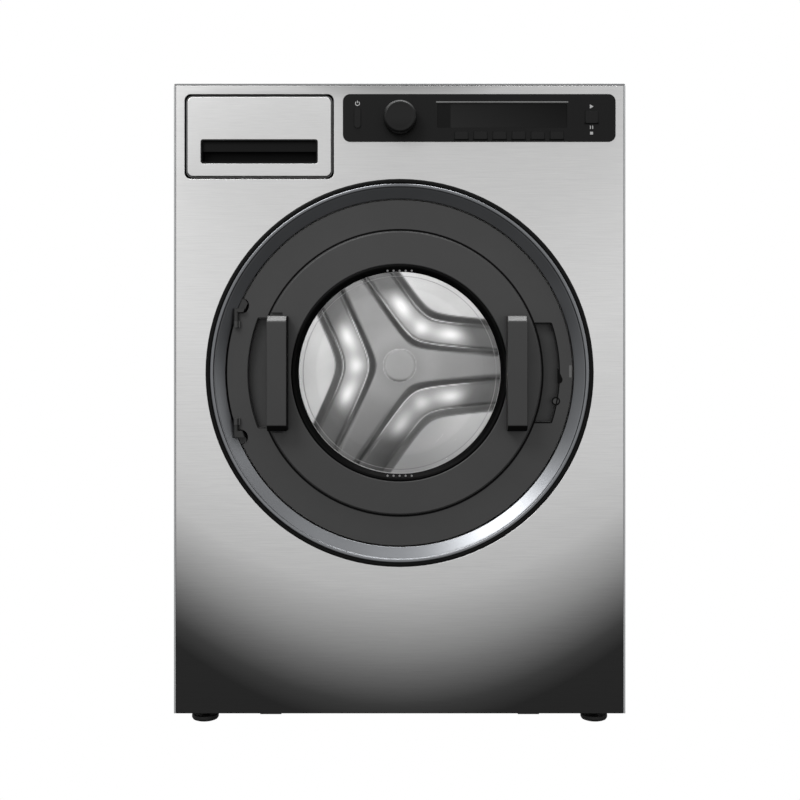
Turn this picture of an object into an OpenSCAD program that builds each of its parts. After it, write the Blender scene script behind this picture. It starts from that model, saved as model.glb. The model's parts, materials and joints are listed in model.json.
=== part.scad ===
/* [Cabinet] */
// Width over the side panels
body_w = 595; // [580:1:720]
// Height from the floor to the top cover
body_h = 850; // [850:1:1030]
// Depth from the front panel face to the rear panel face
body_d = 650; // [650:1:790]
// Thickness of the sheet steel
sheet = 1.2; // [0.8:0.1:1.6]
// Width of the side panel and top cover edges seen from the front
edge_w = 2.5; // [2:0.1:3]
// Height of the cabinet above the floor
foot_h = 20; // [17:1:30]
// Depth of the flanges folded round the front and rear panels
flange_d = 14; // [10:1:16]
// Reach of the grips in front of the panel and of the pipe ends behind it
reach = 25; // [22:1:35]

/* [Porthole] */
// Distance from the top cover down to the porthole centre
port_drop = 381.5; // [376:0.5:384]
// Radius of the bright porthole ring
ring_r = 250; // [246:0.5:252]
// Width of the black rubber rim round the ring
rim_w = 5.5; // [4:0.5:6]
// Inner radius of the sloping ring
lip_r = 230.5; // [230.5:0.1:232]
// Depth of the recess behind the door
pan_d = 52; // [52:0.5:53]
// Inner radius of the recess wall
pan_r = 236; // [235:0.5:238]

/* [Door] */
// Radius of the door
disc_r = 228.5; // [227:0.1:228.6]
// Radius of the raised trim disc
trim_r = 188; // [184:0.5:192]
// Radius of the window opening in the trim disc
window_r = 143.5; // [142:0.5:146]
// Radius of the clear glass
glass_r = 134; // [132:0.5:135]
// Thickness of the glass
glass_t = 5; // [4:0.5:6]
// Width of each grip bar
grip_w = 26.3; // [22:0.1:28]
// Height of each grip bar
grip_h = 151; // [130:1:155]
// Distance of the left grip bar from the door centre
grip_left_x = 160; // [158:0.5:164]
// Distance of the right grip bar from the door centre
grip_right_x = 153.5; // [153:0.5:158]
// Distance of the hinge axis from the door centre
hinge_x = 216; // [215:0.5:217]

/* [Drawer] */
// Width of the drawer front
drawer_w = 189; // [170:1:192]
// Height of the drawer front
drawer_h = 104; // [95:1:106]
// Gap round the drawer front
drawer_gap = 3.8; // [3:0.1:4]
// Width of the grip in the drawer front
drawer_grip_w = 154; // [130:1:160]
// Height of the grip in the drawer front
drawer_grip_h = 31.6; // [28:0.1:36]

/* [Controls] */
// Width of the control fascia
fascia_w = 358.2; // [350:0.1:362]
// Height of the control fascia
fascia_h = 61.9; // [58:0.1:64]
// Radius of the program knob
knob_r = 22; // [18:0.5:24]
// Width of an option button
key_w = 17; // [14:0.5:19]
// Height of an option button
key_h = 10; // [8:0.5:11]
// Distance between option buttons
key_pitch = 25.1; // [24.5:0.1:25.2]

/* [Tub and drum] */
// Outer radius of the tub
tub_r = 258; // [252:0.5:258]
// Outer radius of the drum
drum_r = 235; // [228:0.5:236]
// Radius of the drum mouth
mouth_r = 158; // [152:0.5:160]
// Length of the drum
drum_l = 333; // [300:1:335]
// Radius of the drum shaft
shaft_r = 12.45; // [11:0.05:14]
// Radius of the drum pulley
pulley_r = 150; // [120:1:160]
// Radius of the motor pulley
pinion_r = 15; // [12:0.5:18]
// Radius of the motor
motor_r = 60; // [50:1:62]

/* [Hidden] */
$fn = 96;

// Clearances: seam between sheets, running gap, shaft fit and panel joint
seam = 0.2;
gap = 0.3;
fit = 0.05;
tiny = 1;

// Cabinet
half_w = body_w / 2;
cover_z = body_h - edge_w;
inner_x = half_w - sheet;
panel_x = half_w - edge_w - seam;
hem_d = 10;
port_z = body_h - port_drop;
tray_t = 3;
tray_h = 45;
tray_z = foot_h + tray_t;
foot_x = half_w - 35;
foot_d = 45;
pad_r = 18;
pad_h = 8;
stem_r = 5;
rail_h = 26;
rail_w = 30;
rail_t = 1.5;
rail_z = cover_z - rail_h;
rail_depths = [335, 545];
clip_w = 28;
clip_x = 170;

// Porthole
rim_r = ring_r + rim_w;
lip_d = 9.5;
lip_t = 2;
pan_t = 1.5;
pan_front = 10;
pan_back = pan_d + pan_t;
pan_mouth_r = 156;

// Door, as depths behind the front panel face
trim_d = 5.5;
disc_d = 9.5;
disc_t = 2.5;
disc_back = disc_d + disc_t;
well_floor = 21.5;
frame_d = 24;
frame_t = 3;
frame_back = frame_d + frame_t;
inner_back = 50;
inner_r = 220;
seat_r = 147;
glass_d = 14;
flange_t = 5;
clamp_r = glass_r + 0.5;
bowl_d = 97;
hinge_d = 5.5;
knuckle_r = 3.2;
hinge_pin_r = 1.6;
pin_r = 3;
lug_low = 60;
lug_high = 68.7;
knuckle_high = 85;
boss_r = 9;
boss_path_r = 228;
boss_angles = [157, 202];
left_well_r = 200.7;
left_well_h = 72;
right_well_r = 210.7;
right_well_h = 65;
grip_wall = 8;
grip_plate = 9;
grip_bevel = 7.5;
hook_x = 208;
hook_d = 38;
hook_w = 8;
slot_low = 196;
slot_high = 226;
slot_h = 12;

// Drawer
drawer_x = -half_w + 112.5;
drawer_z = body_h - 70;
drawer_r = 7;
bay_w = drawer_w + 2 * drawer_gap;
bay_h = drawer_h + 2 * drawer_gap;
bay_x = [drawer_x - bay_w / 2, drawer_x + bay_w / 2];
bay_z = [drawer_z - bay_h / 2, drawer_z + bay_h / 2];
bay_d = 327.5;
wall = 2.5;
front_t = 1.5;
front_d = 26;
tray_low = drawer_z - drawer_h / 2;
tray_high = tray_low + 72;
tray_w = drawer_w - 7;
tray_end = 310;
grip_z = drawer_z - 19.7;

// Controls
fascia_x = half_w - 13.5 - fascia_w / 2;
fascia_z = body_h - 14.5 - fascia_h / 2;
fascia_front = -1.5;
fascia_back = 1.5;
fascia_wall_d = 16;
knob_x = fascia_x - 104.3;
knob_z = fascia_z - 1;
knob_front = -21.5;
knob_stem_r = 4;
board_d = 14;
board_t = 1.6;
switch_d = 8;
stem_end = 6.2;
window_w = 170.8;
window_h = 31.4;
window_x = fascia_x + 30.1;
window_z = fascia_z + 2.7;
power_x = fascia_x - 160.4;
power_w = 8.3;
power_h = 27;
start_x = fascia_x + 147.7;
start_z = fascia_z + 1.2;
start_w = 16.4;
key_z = fascia_z - 23.1;
key_x = fascia_x - 23.6;
button_front = -2.7;
key_count = 6;

// Tub, drum and drive
wall_d = 78;
wall_t = 4;
tub_t = 3;
collar_r = 166;
tub_front_d = wall_d + wall_t;
drum_d = 92;
drum_t = 1.5;
back_d = drum_d + drum_l;
back_t = 2;
relief_d = back_d - 12;
spider_t = 13;
tub_back_d = 452;
tub_end = tub_back_d + wall_t;
hub_end = 490;
bearing_r = 30;
hub_r = 45;
belt_d = 562;
belt_w = 14;
belt_t = 3;
pulley_d = 560;
pulley_w = 18;
motor_x = 100;
motor_z = port_z - 328.5;
motor_d = 330;
motor_end = 545;
motor_shaft_r = 8;
spring_r = 9;
spring_wire = 1.6;
spring_x = tub_r + 12;
spring_d = 350;
spring_turns = 12;
ear_z = port_z + 95;
ear_t = 8;
damper_x = 200;
damper_d = 260;
damper_r = 14;
rod_r = 6;
damper_h = 120;
damper_top = port_z - 210;
heater_r = 245;
heater_x = 20;
heater_rod_r = 4;
heater_z = port_z - sqrt(heater_r * heater_r - heater_x * heater_x);

// Services
valve_x = [-220, -150];
valve_z = body_h - 60;
valve_r = 13.2;
valve_l = 60;
hose_r = 8;
spigot_d = body_d + 0.6;
valve_neck_r = 11.5;
pump_x = 190;
pump_z = foot_h + 58;
pump_r = 38;
pump_d = [60, 150];
drain_x = 245;
drain_r = 11;
drain_neck_r = 9.5;
box_w = 120;
box_h = 127;
gland_x = -240;
gland_z = body_h - 150;
gland_r = 11;
gland_bore_r = 5;
cover_w = 340;
cover_r = 20;
cover_hole_w = 300;

// Place of a depth behind the front panel face
function at(d) = d - body_d / 2;

module slab(x, d, z) {
    translate([x[0], at(d[0]), z[0]])
        cube([x[1] - x[0], d[1] - d[0], z[1] - z[0]]);
}

module rod(x, z, r, d) {
    translate([x, at(d[0]), z]) rotate([-90, 0, 0]) cylinder(r = r, h = d[1] - d[0]);
}

module post(x, d, r, z) {
    translate([x, at(d), z[0]]) cylinder(r = r, h = z[1] - z[0]);
}

// Revolved about the porthole axis, from [radius, depth] points
module turned(points, x = 0, z = port_z) {
    translate([x, at(0), z]) rotate([-90, 0, 0]) rotate_extrude($fn = 180) polygon(points);
}

// A flat [x, z] outline given a depth
module panel(d) {
    translate([0, at(d[1]), 0]) rotate([90, 0, 0]) linear_extrude(d[1] - d[0]) children();
}

module tile(w, h, r) {
    square([w - 2 * r, h], center = true);
    square([w, h - 2 * r], center = true);
    for (x = [-1, 1], z = [-1, 1])
        translate([x * (w / 2 - r), z * (h / 2 - r)]) circle(r = r, $fn = 32);
}

module at_port() {
    translate([0, port_z]) children();
}

module bay_outline() {
    translate([drawer_x, drawer_z]) tile(bay_w, bay_h, drawer_r + 1.5);
}

module fascia_outline(margin = 0) {
    translate([fascia_x, fascia_z])
        tile(fascia_w + 2 * margin, fascia_h + 2 * margin, 9 + margin);
}

// Cabinet

module front_panel() {
    color("silver") difference() {
        slab([-panel_x, panel_x], [0, flange_d], [foot_h, cover_z - seam]);
        slab([-panel_x + sheet, panel_x - sheet], [sheet, flange_d + tiny],
             [foot_h + sheet, cover_z - seam - sheet]);
        panel([-tiny, sheet + tiny]) bay_outline();
        panel([-tiny, sheet + tiny]) fascia_outline(seam);
        rod(0, port_z, rim_r, [-tiny, sheet + tiny], $fn = 180);
    }
}

module side_panel(side) {
    mirror([side < 0 ? 1 : 0, 0, 0]) {
        slab([inner_x, half_w], [0, body_d], [foot_h, cover_z]);
        slab([half_w - edge_w, inner_x], [0, hem_d], [foot_h, cover_z]);
    }
}

module side_panel_left() {
    color("lightgrey") side_panel(-1);
}

module side_panel_right() {
    color("lightgrey") side_panel(1);
}

module rear_panel() {
    color("lightgrey") difference() {
        slab([-inner_x, inner_x], [body_d - flange_d, body_d], [foot_h, cover_z]);
        slab([-inner_x + sheet, inner_x - sheet], [body_d - flange_d - tiny, body_d - sheet],
             [foot_h + sheet, cover_z - sheet]);
        panel([body_d - sheet - tiny, body_d + tiny])
            at_port() tile(cover_hole_w, cover_hole_w, cover_r);
        for (x = valve_x)
            rod(x, valve_z, valve_neck_r + fit, [body_d - sheet - tiny, body_d + tiny]);
        rod(drain_x, pump_z, drain_neck_r + fit, [body_d - sheet - tiny, body_d + tiny]);
        rod(gland_x, gland_z, gland_r, [body_d - sheet - tiny, body_d + tiny]);
    }
}

module service_cover() {
    color("lightgrey") {
        panel([body_d, body_d + sheet]) at_port() tile(cover_w, cover_w, cover_r + 5);
        panel([body_d + sheet, body_d + 4]) at_port()
            tile(cover_w - 60, cover_w - 60, cover_r);
    }
}

module top_panel() {
    color("silver") translate([0, 0, cover_z]) linear_extrude(edge_w) tile(body_w, body_d, 4);
}

module base_tray() {
    color("dimgrey") difference() {
        union() {
            difference() {
                slab([-inner_x, inner_x], [flange_d, body_d - flange_d],
                     [foot_h, foot_h + tray_h]);
                slab([-inner_x + 2, inner_x - 2], [flange_d + 2, body_d - flange_d - 2],
                     [tray_z, foot_h + tray_h + tiny]);
            }
            for (x = [-clip_x, clip_x])
                slab([x - clip_w / 2, x + clip_w / 2], [3, flange_d + 6],
                     [foot_h - 1.8, foot_h]);
        }
        for (x = [-foot_x, foot_x], d = [foot_d, body_d - foot_d])
            post(x, d, stem_r, [foot_h - tiny, tray_z + tiny]);
    }
}

module top_rails() {
    color("dimgrey") for (d = rail_depths) {
        difference() {
            slab([-inner_x, inner_x], [d, d + rail_w], [rail_z, cover_z]);
            slab([-inner_x - tiny, inner_x + tiny], [d + rail_t, d + rail_w - rail_t],
                 [rail_z + rail_t, cover_z + tiny]);
        }
    }
}

module levelling_feet() {
    color("black") for (x = [-foot_x, foot_x], d = [foot_d, body_d - foot_d])
        translate([x, at(d), 0]) {
            rotate_extrude($fn = 64) polygon([[0, 0], [14, 0], [16.5, 1], [pad_r, 3.5],
                                     [pad_r, pad_h - 1], [pad_r - 1, pad_h], [0, pad_h]]);
            cylinder(r = stem_r, h = foot_h + 32);
            translate([0, 0, foot_h - 7]) cylinder(r = 10, h = 7, $fn = 6);
            translate([0, 0, tray_z]) cylinder(r = 10, h = 7, $fn = 6);
        }
}

// Porthole

module porthole_ring() {
    color("darkgrey") turned([[ring_r, pan_front], [ring_r, 0.4], [ring_r - 0.7, -1.2],
                             [ring_r - 2.5, -2], [ring_r - 4.3, -1.2], [ring_r - 5.4, 0.6],
                             [lip_r, lip_d], [lip_r, lip_d + lip_t], [lip_r + 2.3, lip_d + lip_t],
                             [ring_r - 5.2, 3.2], [ring_r - 3, 2], [ring_r - 2, 2.6],
                             [ring_r - 2, pan_front]]);
}

module porthole_rim() {
    color("black") turned([[ring_r, pan_front], [ring_r, 0.6], [ring_r + 1.5, -0.8],
                          [rim_r - 1.5, -0.8], [rim_r, 0], [rim_r, sheet],
                          [rim_r + 3.5, sheet], [rim_r + 3.5, sheet + 2],
                          [rim_r, sheet + 2], [rim_r, pan_front]]);
}

module porthole_pan() {
    color("grey") difference() {
        turned([[pan_mouth_r, pan_d], [pan_r, pan_d], [pan_r, pan_front],
                [rim_r + 4.5, pan_front], [rim_r + 4.5, sheet], [rim_r + 6, sheet],
                [rim_r + 6, pan_front + pan_t], [pan_r + 2, pan_front + pan_t],
                [pan_r + 2, pan_back], [pan_mouth_r, pan_back]]);
        slab([slot_low, slot_high], [pan_d - tiny, pan_back + tiny],
             [port_z - slot_h, port_z + slot_h]);
    }
}

module bosses() {
    intersection() {
        for (angle = boss_angles) rotate(angle) translate([boss_path_r, 0]) circle(r = boss_r);
        difference() {
            circle(r = lip_r, $fn = 180);
            circle(r = inner_r + 1.5, $fn = 180);
        }
    }
}

module hinge_bracket() {
    color("dimgrey") {
        difference() {
            union() {
                for (side = [-1, 1])
                    translate([0, 0, port_z]) mirror([0, 0, side < 0 ? 1 : 0])
                        post(-hinge_x, hinge_d, knuckle_r, [lug_high + gap, knuckle_high]);
                panel([hinge_d - knuckle_r, disc_d + tiny]) at_port() intersection() {
                    bosses();
                    square([2 * lip_r, 2 * knuckle_high], center = true);
                }
                panel([disc_d + 0.5, pan_d]) at_port() bosses();
            }
            turned([[lip_r - gap, pan_d + tiny], [lip_r - gap, lip_d - gap],
                    [ring_r - 5.4, 0.6 - gap], [rim_r, -knuckle_r], [rim_r, pan_d + tiny]]);
        }
        for (side = [-1, 1]) translate([0, 0, port_z]) mirror([0, 0, side < 0 ? 1 : 0])
            post(-hinge_x, hinge_d, hinge_pin_r, [lug_low + gap, lug_high + gap + tiny]);
        intersection() {
            slab([-pan_r, -inner_r - 2.5], [pan_d - 3, pan_d],
                 [port_z - knuckle_high, port_z + knuckle_high]);
            rod(0, port_z, pan_r, [pan_d - 3, pan_d], $fn = 180);
        }
    }
}

module door_lock() {
    color("black") difference() {
        slab([slot_low - 6, slot_high + 14], [pan_back, pan_back + 19.5],
             [port_z - 30, port_z + 30]);
        slab([slot_low, slot_high], [pan_back - tiny, pan_back + 16.5],
             [port_z - slot_h, port_z + slot_h]);
    }
}

// Controls

module key_outline(margin = 0) {
    for (i = [0 : key_count - 1])
        translate([key_x + i * key_pitch, key_z])
            tile(key_w + 2 * margin, key_h + 2 * margin, 1.2);
}

module power_outline(margin = 0) {
    translate([power_x, fascia_z])
        tile(power_w + 2 * margin, power_h + 2 * margin, power_w / 2 + margin - 0.1);
}

module start_outline(margin = 0) {
    translate([start_x, start_z]) tile(start_w + 2 * margin, start_w + 2 * margin, 2);
}

module display_outline(margin = 0) {
    translate([window_x, window_z]) tile(window_w + 2 * margin, window_h + 2 * margin, 1.5);
}

module control_fascia() {
    color([0.13, 0.13, 0.13]) difference() {
        union() {
            panel([fascia_front, fascia_back]) fascia_outline();
            panel([fascia_back, fascia_wall_d]) difference() {
                fascia_outline(-0.5);
                fascia_outline(-2);
            }
        }
        panel([fascia_front - tiny, fascia_back + tiny]) {
            key_outline(gap);
            power_outline(gap);
            start_outline(gap);
            display_outline();
        }
        rod(knob_x, knob_z, knob_stem_r + fit, [fascia_front - tiny, fascia_back + tiny]);
    }
}

module display_window() {
    color([0.05, 0.05, 0.06]) {
        panel([fascia_front + 0.5, fascia_back]) display_outline();
        panel([fascia_back, fascia_back + 2]) display_outline(1.5);
    }
}

module control_board() {
    color("darkgreen") {
        panel([board_d, board_d + board_t]) fascia_outline(-2);
        for (i = [0 : key_count - 1])
            slab([key_x + i * key_pitch - 3, key_x + i * key_pitch + 3], [switch_d, board_d],
                 [key_z - 3, key_z + 3]);
        slab([power_x - 3, power_x + 3], [switch_d, board_d], [fascia_z - 3, fascia_z + 3]);
        slab([start_x - 3, start_x + 3], [switch_d, board_d], [start_z - 3, start_z + 3]);
        rod(knob_x, knob_z, 8, [switch_d + 2 + gap, board_d]);
    }
}

// A button: cap, keeper flange behind the fascia and stem to its switch
module button(x, z, w, h, r) {
    color([0.08, 0.08, 0.08]) translate([x, 0, z]) {
        panel([button_front, fascia_back + gap]) tile(w, h, r);
        panel([fascia_back + gap, fascia_back + gap + 2]) tile(w + 3, h, r);
        rod(0, 0, 2.5, [fascia_back + gap + 2, stem_end]);
    }
}

module power_button() {
    button(power_x, fascia_z, power_w, power_h, power_w / 2 - 0.1);
}

module start_button() {
    button(start_x, start_z, start_w, start_w, 2);
}

module option_button(i) {
    button(key_x + (i - 1) * key_pitch, key_z, key_w, key_h, 1.2);
}

module program_knob() {
    color([0.1, 0.1, 0.1])
        turned([[0, knob_front], [knob_r - 3.5, knob_front], [knob_r - 1, knob_front + 1.6],
                [knob_r, knob_front + 4.5], [knob_r, fascia_front - gap],
                [knob_stem_r, fascia_front - gap], [knob_stem_r, switch_d + 2],
                [0, switch_d + 2]], knob_x, knob_z);
}

// Drawer

module dispenser_housing() {
    color([0.2, 0.2, 0.22]) {
        difference() {
            slab([bay_x[0] - wall, bay_x[1] + wall], [sheet, bay_d + wall],
                 [bay_z[0] - wall, bay_z[1] + wall]);
            slab(bay_x, [sheet - tiny, bay_d], bay_z);
        }
        for (side = [-1, 1])
            slab([drawer_x + side * (tray_w / 2 - 8) - 5, drawer_x + side * (tray_w / 2 - 8) + 5],
                 [front_d + 4, bay_d], [bay_z[0], tray_low - gap]);
    }
}

module drawer_grip_outline() {
    translate([drawer_x, grip_z]) tile(drawer_grip_w, drawer_grip_h, 3);
}

module drawer_front() {
    color("silver") {
        panel([-0.5, front_t]) difference() {
            translate([drawer_x, drawer_z]) tile(drawer_w, drawer_h, drawer_r);
            drawer_grip_outline();
        }
        panel([front_t, front_d]) translate([drawer_x, drawer_z]) difference() {
            tile(drawer_w, drawer_h, drawer_r);
            tile(drawer_w - 2 * front_t, drawer_h - 2 * front_t, drawer_r - front_t);
        }
    }
}

module drawer_grip() {
    pocket_w = drawer_grip_w - 4;
    pocket_h = drawer_grip_h - 4;
    color([0.06, 0.06, 0.06]) {
        difference() {
            panel([-0.5, front_d]) drawer_grip_outline();
            panel([-0.5 - tiny, front_d - 4])
                translate([drawer_x, grip_z]) tile(pocket_w, pocket_h, 2);
        }
        panel([4, 7]) translate([drawer_x, grip_z + pocket_h / 4])
            square([pocket_w, pocket_h / 2], center = true);
    }
}

module drawer_tray() {
    x = [drawer_x - tray_w / 2, drawer_x + tray_w / 2];
    cell = (tray_w - 4 * wall) / 3;
    color("whitesmoke") difference() {
        slab(x, [front_d, tray_end], [tray_low, tray_high]);
        for (i = [0 : 2])
            slab([x[0] + wall + i * (cell + wall), x[0] + wall + i * (cell + wall) + cell],
                 [front_d + wall, tray_end - wall], [tray_low + wall, tray_high + tiny]);
    }
}

// Services

module inlet_valves() {
    color("steelblue") for (x = valve_x) {
        slab([x - 15, x + 15], [body_d - sheet - valve_l, body_d - sheet],
             [valve_z - 15, valve_z + 15]);
        difference() {
            union() {
                rod(x, valve_z, valve_neck_r, [body_d - sheet, body_d + reach]);
                rod(x, valve_z, valve_r, [spigot_d, body_d + reach]);
            }
            rod(x, valve_z, hose_r, [body_d, body_d + reach + tiny]);
        }
        rod(x, valve_z, hose_r, [bay_d + wall, body_d - sheet - valve_l]);
    }
}

module drain_pump() {
    color("dimgrey") {
        rod(pump_x, pump_z, pump_r, pump_d);
        slab([pump_x - 25, pump_x + 25], [pump_d[0] + 10, pump_d[1] - 10], [tray_z, pump_z]);
        translate([pump_x, at(pump_d[1] - 20), pump_z]) rotate([0, 90, 0])
            cylinder(r = drain_neck_r, h = drain_x - pump_x);
        translate([drain_x, at(pump_d[1] - 20), pump_z]) sphere(r = drain_neck_r);
        difference() {
            union() {
                rod(drain_x, pump_z, drain_neck_r, [pump_d[1] - 20, body_d + reach]);
                rod(drain_x, pump_z, drain_r, [spigot_d, body_d + reach]);
            }
            rod(drain_x, pump_z, drain_neck_r - 1, [body_d, body_d + reach + tiny]);
        }
    }
}

module control_box() {
    color("grey") slab([-inner_x + 25, -inner_x + 25 + box_w],
                       [body_d - 240, body_d - 110], [tray_z, tray_z + box_h]);
}

module cable_gland() {
    color("black") difference() {
        union() {
            rod(gland_x, gland_z, gland_r, [body_d - sheet, body_d + 4]);
            rod(gland_x, gland_z, gland_r + 3, [body_d, body_d + 4], $fn = 6);
            rod(gland_x, gland_z, gland_r - 1, [body_d + 4, body_d + 14]);
            rod(gland_x, gland_z, gland_r + 3, [body_d - sheet - 4, body_d - sheet], $fn = 6);
        }
        rod(gland_x, gland_z, gland_bore_r, [body_d - sheet - 4 - tiny, body_d + 14 + tiny]);
    }
}

module damper_cylinders() {
    color("black") for (x = [-damper_x, damper_x]) difference() {
        post(x, damper_d, damper_r, [tray_z, tray_z + damper_h]);
        post(x, damper_d, rod_r + fit, [tray_z + 20, tray_z + damper_h + tiny]);
    }
}

// Tub

module tub_rear() {
    color([0.75, 0.75, 0.72]) difference() {
        union() {
            rod(0, port_z, tub_r, [tub_front_d, tub_end], $fn = 180);
            rod(0, port_z, tub_r + 3, [tub_front_d, tub_front_d + 4], $fn = 180);
            rod(0, port_z, hub_r, [tub_end, hub_end]);
            for (angle = [22.5 : 45 : 359])
                translate([0, 0, port_z]) rotate([0, angle, 0])
                    translate([-2, at(tub_end), 0]) cube([4, 18, tub_r - 6]);
            for (x = [-spring_x, spring_x])
                slab([min(x, sign(x) * 225), max(x, sign(x) * 225)],
                     [spring_d - 15, spring_d + 15], [ear_z, ear_z + ear_t]);
            for (x = [-spring_x, spring_x])
                post(x, spring_d, 14, [ear_z, ear_z + ear_t]);
            for (x = [-damper_x, damper_x])
                slab([x - 12, x + 12], [damper_d - 12, damper_d + 12],
                     [damper_top, port_z - 150]);
            for (d = [350, 430])
                slab([motor_x - 20, motor_x + 20], [d, d + 20],
                     [motor_z + motor_r + 6, port_z - 200]);
        }
        rod(0, port_z, tub_r - tub_t, [tub_front_d - tiny, tub_back_d], $fn = 180);
        rod(0, port_z, bearing_r, [tub_back_d - tiny, hub_end + tiny]);
        for (x = [-heater_x, heater_x])
            rod(x, heater_z, heater_rod_r, [tub_back_d - tiny, tub_end + tiny]);
    }
}

module tub_front() {
    color([0.75, 0.75, 0.72]) turned([[collar_r - 3, 62], [collar_r, 62], [collar_r, wall_d],
                                     [tub_r + 3, wall_d], [tub_r + 3, tub_front_d],
                                     [collar_r - 3, tub_front_d]]);
}

module door_seal() {
    front = pan_back + gap;
    color([0.35, 0.35, 0.36]) turned([[seat_r, front + 3], [seat_r + 2, front],
                              [seat_r + 29, front], [seat_r + 29, front + 3],
                              [collar_r + 4, front + 3], [collar_r + 8, front + 7],
                              [collar_r + 4, front + 11], [collar_r + 4, wall_d - 1],
                              [collar_r, wall_d - 1], [collar_r, front + 10],
                              [collar_r + 4, front + 7], [collar_r, front + 4],
                              [collar_r - 2, front + 3]]);
}

module counterweights() {
    color("grey") difference() {
        turned([[182, 58.5], [tub_r - 8, 58.5], [tub_r - 8, wall_d], [182, wall_d]]);
        slab([-half_w, half_w], [58, wall_d + tiny], [port_z - 70, port_z + 70]);
    }
}

module heater() {
    color("silver") {
        for (x = [-heater_x, heater_x]) {
            rod(x, heater_z, heater_rod_r, [140, tub_end + 4]);
            translate([x, at(140), heater_z]) sphere(r = heater_rod_r);
        }
        translate([-heater_x, at(140), heater_z]) rotate([0, 90, 0])
            cylinder(r = heater_rod_r, h = 2 * heater_x);
        slab([-35, 35], [tub_end, tub_end + 4], [heater_z - 10, heater_z + 10]);
        for (x = [-heater_x, heater_x]) rod(x, heater_z, 2.5, [tub_end + 4, tub_end + 18]);
    }
}

module drum_bearings() {
    color("silver") for (d = [tub_back_d, hub_end - 16])
        turned([[shaft_r + fit, d], [bearing_r, d], [bearing_r, d + 16], [shaft_r + fit, d + 16]]);
}

module drive_motor() {
    color("dimgrey") difference() {
        union() {
            rod(motor_x, motor_z, motor_r, [motor_d + 15, motor_end - 15]);
            rod(motor_x, motor_z, motor_r - 8, [motor_d, motor_end]);
            for (d = [350, 430])
                slab([motor_x - 20, motor_x + 20], [d, d + 20],
                     [motor_z, motor_z + motor_r + 6]);
        }
        rod(motor_x, motor_z, motor_shaft_r + fit, [motor_end - 25, motor_end + tiny]);
    }
}

module belt_loop(margin) {
    hull() {
        translate([0, port_z]) circle(r = pulley_r + gap + margin, $fn = 90);
        translate([motor_x, motor_z]) circle(r = pinion_r + gap + margin, $fn = 48);
    }
}

module drive_belt() {
    color("black") panel([belt_d, belt_d + belt_w]) difference() {
        belt_loop(belt_t);
        belt_loop(0);
    }
}

module damper_rods() {
    color("silver") for (x = [-damper_x, damper_x])
        post(x, damper_d, rod_r, [tray_z + 37, damper_top]);
}

// Spring drawn as a stack of coils joined into one sleeve
module suspension_springs() {
    pitch = (rail_z - ear_z - ear_t) / spring_turns;
    coils = [for (i = [0 : spring_turns - 1])
        let (z = ear_z + ear_t + i * pitch)
        each [[spring_r - spring_wire, z], [spring_r, z + pitch / 4],
              [spring_r, z + 3 * pitch / 4]]];
    color("silver") for (x = [-spring_x, spring_x]) translate([x, at(spring_d), 0])
        rotate_extrude($fn = 48)
            polygon(concat([[spring_r - 4, ear_z + ear_t]], coils,
                           [[spring_r - spring_wire, rail_z], [spring_r - 4, rail_z]]));
}

// Drum

module drum_shell() {
    color("silver") turned([[mouth_r, drum_d], [drum_r, drum_d], [drum_r, back_d],
                           [drum_r - drum_t, back_d], [drum_r - drum_t, drum_d + drum_t],
                           [mouth_r + 2, drum_d + drum_t], [mouth_r + 2, drum_d + 10],
                           [mouth_r, drum_d + 10]]);
}

module drum_back() {
    color("silver") {
        rod(0, port_z, drum_r, [back_d, back_d + back_t], $fn = 180);
        rod(0, port_z, 28, [relief_d, back_d]);
        panel([relief_d + 4, back_d]) at_port() for (angle = [60, 180, 300])
            rotate(angle) polygon([[41, 0], [30, 27], [100, 118], [150, 118], [150, 60],
                                   [108, 0], [150, -60], [150, -118], [100, -118], [30, -27]]);
    }
}

module drum_lifters() {
    color("lightgrey") for (angle = [30, 150, 270])
        panel([drum_d + 40, back_d - 20]) at_port() rotate(angle) intersection() {
            circle(r = drum_r - drum_t - seam, $fn = 180);
            polygon([[drum_r, -34], [185, -11], [181, 0], [185, 11], [drum_r, 34]]);
        }
}

module drum_spider() {
    color("grey") {
        rod(0, port_z, shaft_r, [back_d + back_t, pulley_d + pulley_w + 6]);
        rod(0, port_z, 40, [back_d + back_t, back_d + back_t + spider_t]);
        panel([back_d + back_t, back_d + back_t + spider_t - 3]) at_port()
            for (angle = [0, 120, 240]) rotate(angle) translate([0, -20]) square([225, 40]);
    }
}

module drum_pulley() {
    color("silver") difference() {
        union() {
            rod(0, port_z, pulley_r, [pulley_d, pulley_d + pulley_w], $fn = 120);
        }
        panel([pulley_d - tiny, pulley_d + pulley_w + tiny]) at_port() difference() {
            circle(r = pulley_r - 10);
            circle(r = 28);
            for (angle = [0 : 60 : 300]) rotate(angle) translate([0, -7]) square([pulley_r, 14]);
        }
        rod(0, port_z, shaft_r, [pulley_d - tiny, pulley_d + pulley_w + tiny]);
    }
}

module motor_pulley() {
    color("silver") {
        rod(motor_x, motor_z, pinion_r, [pulley_d, pulley_d + pulley_w]);
        rod(motor_x, motor_z, motor_shaft_r, [motor_end - 24, pulley_d]);
    }
}

// Door

module left_well() {
    at_port() intersection() {
        circle(r = left_well_r, $fn = 180);
        translate([-300, -left_well_h]) square([300 - grip_left_x + grip_w / 2 - grip_wall,
                                                2 * left_well_h]);
    }
}

module right_well() {
    at_port() difference() {
        intersection() {
            circle(r = right_well_r, $fn = 180);
            translate([0, -right_well_h]) square([300, 2 * right_well_h]);
        }
        circle(r = trim_r, $fn = 180);
    }
}

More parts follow.
